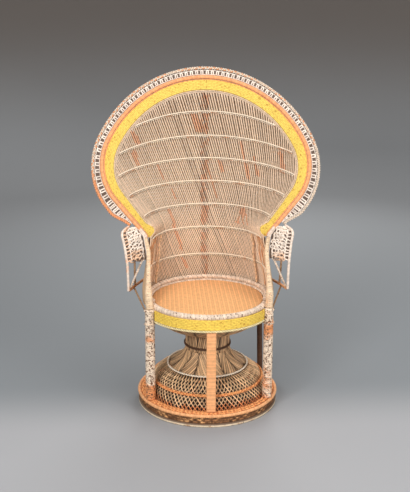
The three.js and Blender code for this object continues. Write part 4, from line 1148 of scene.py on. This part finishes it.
yellow_end = throat_end - 4
distance = np.linspace(-yellow_end, yellow_end, 1080)
inner_line = fan_point(distance, yellow_inner(distance))
outer_line = fan_point(distance, yellow_outer(distance))
facing = fan_facing((inner_line + outer_line)[:, 2] / 2)
rows, crest = band_section(inner_line, outer_line, facing, YELLOW_THICKNESS, relief=1.6)
yellow = Strands()
yellow.skin(rows, crest=crest)
yellow.make("fan_yellow_plait", yellow_plait, "fan_yellow_band")

path, facing = along_outline(throat_end, 500, outline_bead_offset)
outline_bead = ("fan_outline_bead_wrap", orange_braid, "fan_outline_bead")
single(wrapped, *outline_bead, path, OUTLINE_BEAD, 6, 0.4, 6, facing)

bare_until = (flank_end - 25) / throat_end


def pole_bare(share):
    """Orange shows all along the pole but for its two ends at the throats."""
    return 1 - smooth(bare_until, bare_until + 0.06, np.abs(2 * share - 1))


path, facing = along_outline(throat_end, 500, pole_offset)
pole = ("fan_pole_wrap", pole_wrap, "fan_pole")
single(wrapped, *pole, path, POLE, 7, 1.1, 12, facing, worn=pole_bare)

# %% Bend the loops
LOOP_COUNT = 80
LOOP_STRAND = 3.1
LOOP_HALF = 3.5
loops = Strands()
wander = random.Random(11)
for i in range(LOOP_COUNT):
    centre_at = (2 * (i + 0.5) / LOOP_COUNT - 1) * rim_end + wander.uniform(-0.6, 0.6)
    foot_off, top_off = loop_inner(centre_at) + 1, loop_outer(centre_at) - 0.5
    half_way = foot_off + (top_off - foot_off) * 0.4
    arch = np.linspace(0, math.pi, 7)
    across = LOOP_HALF * np.concatenate([[-1, -1], -np.cos(arch), [1, 1]])
    rise = top_off - LOOP_HALF - LOOP_STRAND + LOOP_HALF * np.sin(arch)
    out = np.concatenate([[foot_off, half_way], rise, [half_way, foot_off]])
    path = fan_point(centre_at + across, out)
    facing = fan_facing(path[:, 2])
    loops.skin(tube(path, LOOP_STRAND, 6, facing), tone=wander.random(), crest=0.9)

# %% Carry the loops over a strip of painted shade
SHADE_STRIP_THICKNESS = 1.2
LOOP_RAIL = 1.7
distance = np.linspace(-rim_end, rim_end, 400)
facing = fan_facing(fan_point(distance, loop_inner(distance))[:, 2])
# A dark strip behind the loops, with crest 0: painted shade seen between the loops.
corners = []
for offset, setback in ((loop_inner, 0), (loop_outer, 0), (loop_outer, 1), (loop_inner, 1)):
    depth = SHADE_STRIP_THICKNESS * (setback - 0.5)
    corners.append(fan_point(distance, offset(distance)) + facing * depth)
loops.skin(np.stack(corners, 1), crest=0.0)
for inset, offset in ((1.6, loop_inner), (-1.8, loop_outer)):
    path = fan_point(distance, offset(distance) + inset)
    loops.skin(tube(path, LOOP_RAIL, 6, facing), crest=0.8)
loops.make("fan_loops", white_loops, "fan_loop_band")

# %% Braid the outer rim
RIM_STRAND = 2.6
path, facing = along_outline(rim_end, 500, rim_offset)


def rim_bare(share, strand):
    """Orange shows on one strand in three, on all three at the left and on none at the right."""
    one = 0.55 if strand == 0 else 0.0
    left, right = 1 - smooth(0.08, 0.2, share), smooth(0.75, 0.9, share)
    return one + (0.8 - one) * left - one * right


rim = ("fan_rim_braid", rim_braid, "fan_outer_rim")
shape = (RIM - RIM_STRAND - 0.2, 2.8, RIM_STRAND, 30, facing)
single(braided, *rim, path, *shape, worn=rim_bare)

# %% [markdown]
# ## The woven back
#
# The back is a shell whose level sections are arcs from edge to edge. Two layers of thin canes
# lean opposite ways across it, and each cane is cut where it meets the edge. The layer towards the
# sitter is pale and worn, with painted shade on the edges of its canes. The one behind it has
# painted shade on the side that the sitter sees, and is darkest down the middle.

# %% Describe the shell
edge_offset = -EDGE_ROD - 2 * CLEARANCE
marks = np.linspace(0, throat_end, 300)
upper_edge = fan_point(np.maximum(marks, 0.001), edge_offset + drop_at(marks))
throat_edge = upper_edge[-1]
throat_pole = fan_point(throat_end, pole_offset(throat_end))
lower = post_curve(1, 80)[::-1]
lower = lower[lower[:, 2] < throat_edge[2]]
tuck = np.clip((throat_edge[2] - lower[:, 2]) / 50, 0, 1) * math.pi / 2
behind = post_radius(lower[:, 2]) + CLEARANCE + FACET_ROOM + EDGE_ROD
beside = (throat_edge[0] - throat_pole[0]) * np.cos(tuck)
lower_edge = lower + np.stack([beside, behind * np.sin(tuck), 0 * tuck], -1)
edge = np.vstack([upper_edge, lower_edge])[::-1]
EDGE_TOP = edge[-1][2]
EDGE_FOOT = LEG_TOP + CLEARANCE + 4


def shell_arc(height):
    height = np.asarray(height, float)
    edge_x, edge_y = (np.interp(height, edge[:, 2], edge[:, k]) for k in (0, 1))
    rise = np.clip((height - LEAN_START) / (EDGE_TOP - LEAN_START), 0, 1)
    foot_share = np.minimum(1, (height - EDGE_FOOT) / (LEAN_START - EDGE_FOOT))
    low_drop = SHELL_FOOT_DEPTH + (SHELL_THROAT_DEPTH - SHELL_FOOT_DEPTH) * foot_share - edge_y
    high_drop = (SHELL_THROAT_DEPTH - THROAT_DEPTH) * (1 - rise**SHELL_POWER)
    drop = np.maximum(np.where(rise > 0, high_drop, low_drop), 0.5)
    radius = (edge_x**2 + drop**2) / (2 * drop)
    span = np.arccos(np.clip(1 - drop / radius, -1, 1)) * radius
    return radius, span, edge_y + drop - radius


def shell_point(reach, height, offset):
    radius, _, centre_y = shell_arc(height)
    angle = reach / radius
    far = radius + offset
    level = np.asarray(height, float) + 0 * angle
    return np.stack([far * np.sin(angle), centre_y + far * np.cos(angle), level], -1)


print(f"the shell is {2 * shell_arc(900)[1]:.0f} mm round at 900 mm up")

# %% Mark the worn places
# Where the paint has rubbed off in streaks: foot and top as reach and height, and the half width.
WORN_STREAKS = [
    (-292, 1050, -332, 1117, 14),
    (-298, 958, -325, 1034, 12),
    (-22, 1090, -51, 1173, 17),
    (58, 800, 4, 975, 6),
    (79, 915, 62, 975, 7),
    (-182, 895, -212, 965, 7),
    (-126, 805, -146, 852, 6),
    (-102, 588, -168, 776, 9),
    (-76, 500, -106, 560, 8),
    (150, 704, 170, 786, 6),
    (182, 704, 172, 786, 6),
    (212, 704, 176, 786, 6),
    (198, 890, 154, 1050, 8),
    (238, 912, 212, 1000, 8),
    (358, 932, 340, 1020, 14),
    (172, 702, 172, 716, 36),
]


def worn_at(reach, height):
    worn = np.zeros(np.shape(height))
    for foot_reach, foot_height, top_reach, top_height, half in WORN_STREAKS:
        share = (height - foot_height) / (top_height - foot_height)
        middle = foot_reach + (top_reach - foot_reach) * share
        near = 1 - smooth(half * 0.7, half * 1.2, np.abs(reach - middle))
        between = smooth(-0.08, 0.05, share) * (1 - smooth(0.95, 1.08, share))
        worn = np.maximum(worn, near * between)
    return worn


print(len(WORN_STREAKS), "worn streaks")

# %% Lay the canes of the back
BACK_LEAN = math.tan(math.radians(23))
FAN_REACH = 1650
CANE_PITCH = 8.2
CANE_FLATNESS = 0.6
STRIPE_HALF = 19
LOW_TONE_FADE = (530, 640)
SHORTEST = 9


def spreading(height):
    """How much further apart the canes stand than at the seat, as the fan opens."""
    return 1 + np.maximum(0, height - LEAN_START) / FAN_REACH


def lay_canes(strands, lean, offset, setback, radius, stripe, low_tone, face, wander):
    """Canes that all lean one way; stripe says how dark and worn they are down the middle, and
    face is the painted shade round each cane.
    """
    heights = np.linspace(EDGE_FOOT, EDGE_TOP - 0.5, 600)
    _, spans, _ = shell_arc(heights)
    widest = int(2.2 * shell_arc(EDGE_FOOT)[1] / CANE_PITCH)
    for i in range(-widest, widest + 1):
        start = i * CANE_PITCH + wander.uniform(-0.7, 0.7)
        reach = start * spreading(heights) + lean * (heights - EDGE_FOOT) * BACK_LEAN
        inside = np.abs(reach) < spans - setback
        marks = np.flatnonzero(np.diff(np.concatenate([[0], inside.astype(int), [0]])))
        tone, darker = wander.random(), stripe * (1.0 if i % 2 else 0.4)
        for begin, end in marks.reshape(-1, 2):
            if end - begin < SHORTEST:
                continue
            count = max(4, (end - begin) // 12)
            places = np.linspace(begin, end - 1, count)
            height = np.interp(places, np.arange(len(heights)), heights)
            path_reach = np.interp(height, heights, reach)
            path = shell_point(path_reach, height, offset)
            facing = unit(shell_point(path_reach, height, offset + 1) - path)
            in_stripe = 1 - smooth(STRIPE_HALF - 4, STRIPE_HALF + 2, np.abs(path[:, 0]))
            crest = (1 - darker * in_stripe)[:, None] * face
            worn = np.maximum(0.8 * worn_at(path_reach, height), 0.9 * stripe * in_stripe)
            low_down = 1 - smooth(LEAN_START - 90, LEAN_START + 90, height)
            shift = low_tone * low_down * (0.4 + 0.6 * smooth(*LOW_TONE_FADE, height))
            cane = tube(path, radius * spreading(height)[:, None], 6, facing, flat=CANE_FLATNESS)
            strands.skin(cane, tone=tone + shift[:, None], worn=worn[:, None], crest=crest)


front, rear = Strands(), Strands()
front_shade = edge_shade(6, 0.2)
lay_canes(front, -1, 0, -1.5, 2.65, 0.6, 1.0, front_shade, random.Random(3))
rod_line = np.vstack([edge, (edge * [-1, 1, 1])[::-1]])
front.skin(tube(rod_line, EDGE_ROD, 6, BACK), crest=0.45, tone=0.4)
front.make("back_front_canes", tan_stakes, "back_front_layer")
# Painted shade: the rear canes are dark on the side that faces the sitter.
rear_shade = np.where(np.arange(6) < 4, 1.0, 0.22) * edge_shade(6, 0.4)
lay_canes(rear, 1, 8, 3, 3.6, 0.95, -0.7, rear_shade, random.Random(4))
rear.make("back_rear_canes", rear_stakes, "back_rear_layer")

# %% [markdown]
# ## Hoops and stays of the back
#
# Seven thin pale hoops cross the back on the sitter's side, drooping towards the edges in the
# upper fan. Under each runs a thinner cane, dark on every second stretch: a dotted row of painted
# shadow under the hoop. The two lowest pass in front of the side stays. Beside the seat, at each
# end of the back, stands a stay: a wrapped cane, with four thin bare ones spread between it and
# the edge.

# %% Make the hoops
HOOP_HEIGHTS = [SEAT_HEIGHT + rise for rise in (107, 227, 326, 424, 521, 618, 722)]
HOOP_DROOPS = [0, 0, 6, 24, 42, 52, 50]
HOOP_CANE, DOTTED_CANE = 2.5, 2.2
HOOP_OUT, DOTTED_OUT = 5.2, 5.0
DOTTED_DROP, DOT = 6.8, 4.6
PROUD = 4.5
for i, (height, droop) in enumerate(zip(HOOP_HEIGHTS, HOOP_DROOPS)):
    end = shell_arc(height - droop)[1] - 3
    reach = np.linspace(-end, end, 260)
    level = height - droop * (reach / end) ** 2
    proud = PROUD * smooth(end - 130, end - 105, np.abs(reach)) if i < 2 else 0.0
    hoop = Strands()
    hoop.skin(tube(shell_point(reach, level, -HOOP_OUT - proud), HOOP_CANE, 8, UP), crest=1.0)
    reach = np.arange(-end, end, 2.0)
    level = height - droop * (reach / end) ** 2 - DOTTED_DROP
    # Painted shadow: every second stretch of the thin cane under the hoop is dark.
    shadow_dots = np.where(np.floor(reach / DOT) % 2 == 0, 0.8, 0.0)[:, None]
    path = shell_point(reach, level, -DOTTED_OUT)
    hoop.skin(tube(path, DOTTED_CANE, 6, UP), crest=shadow_dots, worn=0.2)
    hoop.make(f"back_hoop_cane_{i + 1}", hoop_cane, f"back_hoop_{i + 1}")

# %% Make the side stays
STAY_ANGLE = math.radians(62)
STAY_INSET = 18
STAY_HEIGHT = 204
STAY_CANE = 2.6
STAY_TONES = (0.2, 0.8, 0.3, 0.9)
STAY_CRESTS = (0.9, 0.55, 1.0, 0.5)
stay_foot = roll_high.z / MM + 1
for name, side in sides.items():
    stay = Strands()
    height = np.linspace(stay_foot, stay_foot + STAY_HEIGHT, 40)
    bend, span, _ = shell_arc(height)
    path = shell_point(side * STAY_ANGLE * bend, height, -STAY_INSET)
    wrapped(stay, path, 4.2, 7, 0.7, 10, BACK)
    for k, (tone, crest) in enumerate(zip(STAY_TONES, STAY_CRESTS)):
        reach = span + (STAY_ANGLE * bend - span) * (0.12 + 0.21 * k)
        cane = tube(shell_point(side * reach, height, -6), STAY_CANE, 6, BACK)
        stay.skin(cane, tone=tone, worn=0.24, crest=crest * edge_shade(6, 0.45))
    stay.make(f"side_stay_wrap_{name}", stay_wrap, f"side_stay_{name}")

# %% [markdown]
# ## Arms
#
# From the end of the rim a wrapped pole curves out and down to a point beside the seat. Between it
# and the post hangs a wing of white loops, and a small frame of hoop, struts and brace holds the
# point to the back and the leg.

# %% Find the lines of an arm
ARM_TIP = (324, -52, SEAT_HEIGHT + 36)
ARM_POLE, ARM_HOOP = 5.6, 6
ARM_HOOP_BACK = 88
REAR_FACE = 12.4
WING_TOP, WING_FOOT = SEAT_HEIGHT + 274, SEAT_HEIGHT + 155
WING_ARCH, WING_LIFT, WING_SINK = 9, 7, 4


def arm_tip(side):
    return np.array(ARM_TIP, float) * [side, 1, 1]


def arm_pole_curve(side):
    start = fan_point(side * rim_end, rim_offset(rim_end))
    bulge = np.array([side * 347.0, 14, SEAT_HEIGHT + 262])
    start = start + unit(bulge - start) * (RIM + 2 * CLEARANCE + FACET_ROOM)
    below = (side * 338, -20, SEAT_HEIGHT + 216)
    fall = (side * 328, -45, SEAT_HEIGHT + 150)
    return catmull([start, bulge, below, fall, arm_tip(side)], 60)


def point_at(line, height):
    """The point of an upright line at a height."""
    order = np.argsort(line[:, 2])
    return np.stack([np.interp(height, line[order, 2], line[order, k]) for k in range(3)], -1)


def arm_hoop_curve(side):
    """From the arm's tip to a place just behind the rear layer of the back."""
    height = ARM_TIP[2] + 7
    radius, _, centre_y = shell_arc(height)
    far = float(radius) + REAR_FACE + CLEARANCE + FACET_ROOM + ARM_HOOP
    x = math.sqrt(far**2 - (ARM_HOOP_BACK - float(centre_y)) ** 2)
    foot, end = arm_tip(side), np.array([side * x, ARM_HOOP_BACK, height])
    start = foot + unit(end - foot) * (6.5 + CLEARANCE + FACET_ROOM)
    middle = (start + end) / 2 + [side * 3, 0, 0]
    return catmull([start, middle, end], 40)


def carrier_curve(side):
    """The pole and post that carry the inner edge of the wing."""
    distance = np.linspace(flank_start, throat_end, 60)
    pole_line = fan_point(side * distance, pole_offset(distance))
    return np.vstack([pole_line, post_curve(side)[::-1]])


def wing_spot(inner_line, outer_line, height, share, lift=0.0):
    """A point of the wing, the way across it, and the way out of it towards the front."""
    inner_spot, outer_spot = point_at(inner_line, height), point_at(outer_line, height)
    way = outer_spot - inner_spot
    out = unit(np.cross(way, UP))
    out = -out if out[1] > 0 else out
    arch = math.sin(math.pi * share)
    rise = [0, 0, WING_LIFT * arch - WING_SINK]
    spot = inner_spot + way * share + out * (lift + WING_ARCH * arch) + rise
    return spot, way, out


def wing_line(lines, heights, shares, lift=0.0):
    """Points of the wing at heights and shares, one of which may be a single number."""
    pairs = zip(*np.broadcast_arrays(heights, shares))
    return np.array([wing_spot(*lines, height, share, lift)[0] for height, share in pairs])


print("arm tip at", ARM_TIP)

# %% Loop the wings
WING_ROWS, WING_COLUMNS = 10, 4
WING_PITCH = (WING_TOP - WING_FOOT) / WING_ROWS
WING_CANE, BAR_CANE = 3.0, 2.6
wander = random.Random(5)
arm_lines = {}
for name, side in sides.items():
    arm_lines[name] = carrier_curve(side), arm_pole_curve(side), arm_hoop_curve(side)


def wing_bare(side, height):
    """The paint is worn low on the wings, higher up and more on the left one."""
    share, reach = (1.0, 66) if side < 0 else (0.7, 44)
    return share * smooth(WING_FOOT + reach, WING_FOOT, height)


def wing_ring(spot, way, out, half, tilt, turn):
    """A loop that stands tilted in the wing and twists a little out of it."""
    way, up = unit(way), np.array(UP)
    flat = math.cos(tilt) * way + math.sin(tilt) * up
    tall = math.cos(tilt) * up - math.sin(tilt) * way
    ring = spot + np.outer(half * np.cos(turn), flat)
    ring = ring + np.outer(WING_PITCH * 0.6 * np.sin(turn), tall)
    return ring + np.outer(2.2 * np.sin(2 * turn + tilt), out)


for name, side in sides.items():
    lines = arm_lines[name][:2]
    wing = Strands()
    turn = once_round(14)
    # Painted light: each ring is lighter on one side and darker on the other.
    lit = np.clip(0.8 + 0.36 * np.sin(turn + 1.0), 0, 1)[:, None]
    for row in range(WING_ROWS):
        height = WING_TOP - (row + 0.5) * WING_PITCH
        bare = wing_bare(side, height)
        for column in range(WING_COLUMNS):
            share = 0.3 + 0.5 * (column + 0.5 * (row % 2)) / WING_COLUMNS
            jitter, shift = wander.uniform(-2.5, 2.5), wander.uniform(-0.03, 0.03)
            spot, way, out = wing_spot(*lines, height + jitter, share + shift)
            half = 0.1 * np.linalg.norm(way) + wander.uniform(-2, 2)
            ring = wing_ring(spot, way, out, half, wander.uniform(-0.9, 0.9), turn)
            look = dict(tone=wander.random(), crest=lit - 0.4 * bare, worn=0.6 * bare)
            wing.skin(tube(ring, WING_CANE, 6, out, closed=True), closed=True, **look)
        levels = [height + wander.uniform(-2, 2) for _ in range(5)]
        bar = tube(wing_line(lines, levels, np.linspace(0.76, 0.97, 5)), BAR_CANE, 6, BACK)
        wing.skin(bar, tone=wander.random(), crest=0.8, worn=0.5 * (side < 0))
    for share in (0.08, 0.26, 0.8):
        path = wing_line(lines, np.linspace(WING_TOP, WING_FOOT, 16), share)
        wing.skin(tube(path, BAR_CANE, 6, BACK), tone=0.6, crest=0.9)
    # A dark sheet behind the loops, with crest 0: painted shade seen through the holes of the
    # wing.
    shade_sheet = []
    for height in np.linspace(WING_TOP - 3, WING_FOOT + 3, 18):
        front_line = wing_line(lines, height, np.linspace(0.12, 0.94, 8), -1.4)
        rear_line = wing_line(lines, height, np.linspace(0.94, 0.12, 8), -2.4)
        shade_sheet.append(np.vstack([front_line, rear_line]))
    wing.skin(shade_sheet, crest=0.0)
    wing.make(f"arm_wing_loops_{name}", white_loops, f"arm_panel_{name}")

# %% Frame the arms
# Each strut: its place across the wing, its place along the hoop and its finish.
STRUTS = (("outer", 0.3, 0.06, cream_wrap), ("inner", 0.65, 0.4, arm_wrap))


def line_place(line, share):
    """The point of a line nearest to a share of its length."""
    return line[round(share * (len(line) - 1))]


def evenly(bare):
    """The same wear all along a pole."""
    return lambda share: bare + 0 * share


for name, side in sides.items():
    inner_line, outer_line, hoop_line = arm_lines[name]
    bare = 0.9 if side < 0 else 0.25
    pole = (f"arm_pole_wrap_{name}", pole_wrap, f"arm_pole_{name}")
    single(wrapped, *pole, outer_line, ARM_POLE, 7, 1.0, 10, BACK, worn=evenly(0.46 * bare))
    hoop = (f"arm_hoop_wrap_{name}", arm_wrap, f"arm_lower_hoop_{name}")
    single(wrapped, *hoop, hoop_line, ARM_HOOP, 8, 1.2, 10, worn=evenly(bare))
    for kind, panel_share, hoop_share, strut_finish in STRUTS:
        lift = -WING_ARCH * math.sin(math.pi * panel_share)
        head, _, _ = wing_spot(inner_line, outer_line, WING_FOOT, panel_share, lift)
        path = np.array([line_place(hoop_line, hoop_share) + [0, 0, ARM_HOOP], head])
        strut = (f"arm_{kind}_strut_cane_{name}", strut_finish, f"arm_{kind}_strut_{name}")
        single(wrapped, *strut, path, 4.4, 10, 0.8, 8, BACK)
    start = line_place(hoop_line, 0.32)
    end = np.array([side * LEG_X, -LEG_FORWARD, LEG_TOP - 46])
    way = unit(end - start)
    path = np.array([start + ARM_HOOP * way, end - 21 * way])
    brace = (f"arm_brace_cane_{name}", arm_wrap, f"arm_brace_{name}")
    single(wrapped, *brace, path, 4, 9, 0.8, 8, BACK)

# %% [markdown]
# ## Bars under the seat
#
# Two halved bars under the seat keep their CAD shape and get a sawn cane look from the same wear.

# %% Finish the bars
for name in ("seat_bar_across", "seat_bar_along"):
    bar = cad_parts[name]
    for slot in bar.material_slots:
        slot.material = pedestal_cane
print("bars finished")

# %% [markdown]
# ## Stage, light and camera
#
# A pale round floor curves up to a wall all round the chair, so that every view has it behind the
# chair. In the photograph it is lighter in front of the chair than just behind it, and darkest at
# the top. Far off, the floor is painted lighter, as painted light that makes up for the lamps'
# falloff. Inside the base a dark brown shadow is painted on the floor, where hardly any light gets
# through the lattice. Soft lamps light the chair from the front, above and behind. The camera
# stands where the photographer stood, which was found from the ellipses of the base and the seat.

# %% Set the stage
FLOOR_REACH, SWEEP, WALL_TOP = 4200, 1200, 3400
FLOOR_SIDES = 96
bend = np.linspace(0, math.pi / 2, 12)
profile = np.stack([FLOOR_REACH + SWEEP * np.sin(bend), SWEEP * (1 - np.cos(bend))], -1)
profile = np.vstack([[FLOOR_REACH - 300, 0], profile, [FLOOR_REACH + SWEEP, WALL_TOP]])
rings = turned(profile, FLOOR_SIDES).transpose(1, 0, 2)
grid = np.arange(len(profile) * FLOOR_SIDES).reshape(-1, FLOOR_SIDES)
inner, outer = grid[:-1], grid[1:]
quads = np.stack([inner, outer, np.roll(outer, -1, 1), np.roll(inner, -1, 1)], -1)
faces = quads.reshape(-1, 4).tolist() + [grid[0].tolist()]
mesh = bpy.data.meshes.new("floor")
mesh.from_pydata((rings.reshape(-1, 3) * MM).tolist(), [], faces)
mesh.polygons.foreach_set("use_smooth", np.ones(len(mesh.polygons), bool))
stage = bpy.data.objects.new("floor", mesh)
stage.location.y = BASE_Y * MM
bpy.context.scene.collection.objects.link(stage)
print("the floor runs", FLOOR_REACH * MM, "m out and then curves up")

# %% Paint the stage
stage_paint = bpy.data.materials.new("studio floor")
stage_paint.use_nodes = True
nodes, links = stage_paint.node_tree.nodes, stage_paint.node_tree.links
spot = nodes.new("ShaderNodeTexCoord").outputs["Object"]
parts = nodes.new("ShaderNodeSeparateXYZ")
links.new(spot, parts.inputs["Vector"])
far = nodes.new("ShaderNodeVectorMath")
far.operation = "LENGTH"
links.new(spot, far.inputs[0])


def stage_tint(value, start, end, under, colour):
    """Mix a colour over what is under it, where a value passes from start to end."""
    share = nodes.new("ShaderNodeMapRange")
    share.interpolation_type = "SMOOTHSTEP"
    share.inputs["From Min"].default_value = start
    share.inputs["From Max"].default_value = end
    links.new(value, share.inputs["Value"])
    tint = nodes.new("ShaderNodeMix")
    tint.data_type = "RGBA"
    if isinstance(under, tuple):
        tint.inputs[6].default_value = under
    else:
        links.new(under, tint.inputs[6])
    tint.inputs[7].default_value = shade_of(*colour)
    links.new(share.outputs["Result"], tint.inputs["Factor"])
    return tint.outputs[2]


# Lighter far off, as painted light that makes up for the lamps' falloff; dark brown inside the
# base, as a painted shadow.
FRONT_GREY, NEAR_GREY, FAR_PAINTED_LIGHT = (169, 169, 171), (136, 140, 143), (168, 170, 172)
WALL_BROWN, INSIDE_PAINTED_SHADOW = (134, 126, 120), (62, 44, 34)
paint = stage_tint(parts.outputs["Y"], -0.32, 0.16, shade_of(*FRONT_GREY), NEAR_GREY)
paint = stage_tint(parts.outputs["Y"], 0.4, 4.5, paint, FAR_PAINTED_LIGHT)
paint = stage_tint(parts.outputs["Z"], 0.2, 1.6, paint, WALL_BROWN)
paint = stage_tint(far.outputs["Value"], 0.272, 0.262, paint, INSIDE_PAINTED_SHADOW)
links.new(paint, nodes["Principled BSDF"].inputs["Base Color"])
nodes["Principled BSDF"].inputs["Roughness"].default_value = 0.9
mesh.materials.append(stage_paint)


# %% Hang the lamps
def lamp(name, place, size, power):
    data = bpy.data.lights.new(name, "AREA")
    data.shape = "DISK"
    data.size = size
    data.energy = power
    lamp_object = bpy.data.objects.new(name, data)
    bpy.context.scene.collection.objects.link(lamp_object)
    lamp_object.visible_camera = False
    away = unit(np.array(place) - [0, 0, 0.6])
    side = unit(np.cross([0, 0, 1], away))
    turned_to = Matrix(np.column_stack([side, np.cross(away, side), away]).tolist())
    lamp_object.matrix_world = Matrix.Translation(place) @ turned_to.to_4x4()


# Name, place in metres, size in metres and power in watts.
lamp("key", (-1.8, -3.4, 2.7), 1.8, 122)
lamp("fill", (2.6, -2.6, 1.6), 2.2, 60)
lamp("top", (0.2, 0.3, 3.8), 2.0, 38)
lamp("back", (1.0, 3.2, 2.8), 2.2, 64)
world = bpy.data.worlds.new("studio")
bpy.context.scene.world = world
world.use_nodes = True
world.node_tree.nodes["Background"].inputs["Color"].default_value = (1, 1, 1, 1)
world.node_tree.nodes["Background"].inputs["Strength"].default_value = 0.28
print("stage and lamps set")

# %% Place the camera
IMAGE_HEIGHT = 492
FOCAL = 896.4
YAW = -0.0586
PITCH = 0.2673
ROLL = math.radians(0.28)
CAMERA_REACH, CAMERA_HEIGHT = 3.523, 1.632
SIDEWAYS = 2.95
SENSOR = 36
camera_data = bpy.data.cameras.new("camera")
camera_data.sensor_width = SENSOR
camera_data.lens = FOCAL * SENSOR / IMAGE_HEIGHT
camera_data.shift_x = -SIDEWAYS / IMAGE_HEIGHT
camera = bpy.data.objects.new("camera", camera_data)
bpy.context.scene.collection.objects.link(camera)
away = np.array([-math.sin(YAW), math.cos(YAW), 0])
ahead = away * math.cos(PITCH) - [0, 0, math.sin(PITCH)]
right = np.array([math.cos(YAW), math.sin(YAW), 0])
above = np.cross(right, ahead)
rolled_right = right * math.cos(ROLL) + above * math.sin(ROLL)
rolled_up = above * math.cos(ROLL) - right * math.sin(ROLL)
turned_by = Matrix(np.column_stack([rolled_right, rolled_up, -ahead]).tolist()).to_4x4()
place = -CAMERA_REACH * away + [0, BASE_Y * MM, CAMERA_HEIGHT]
camera.matrix_world = Matrix.Translation(place.tolist()) @ turned_by
bpy.context.scene.camera = camera
bpy.context.scene.view_settings.view_transform = "Standard"
print("camera at", [round(v, 3) for v in camera.location])
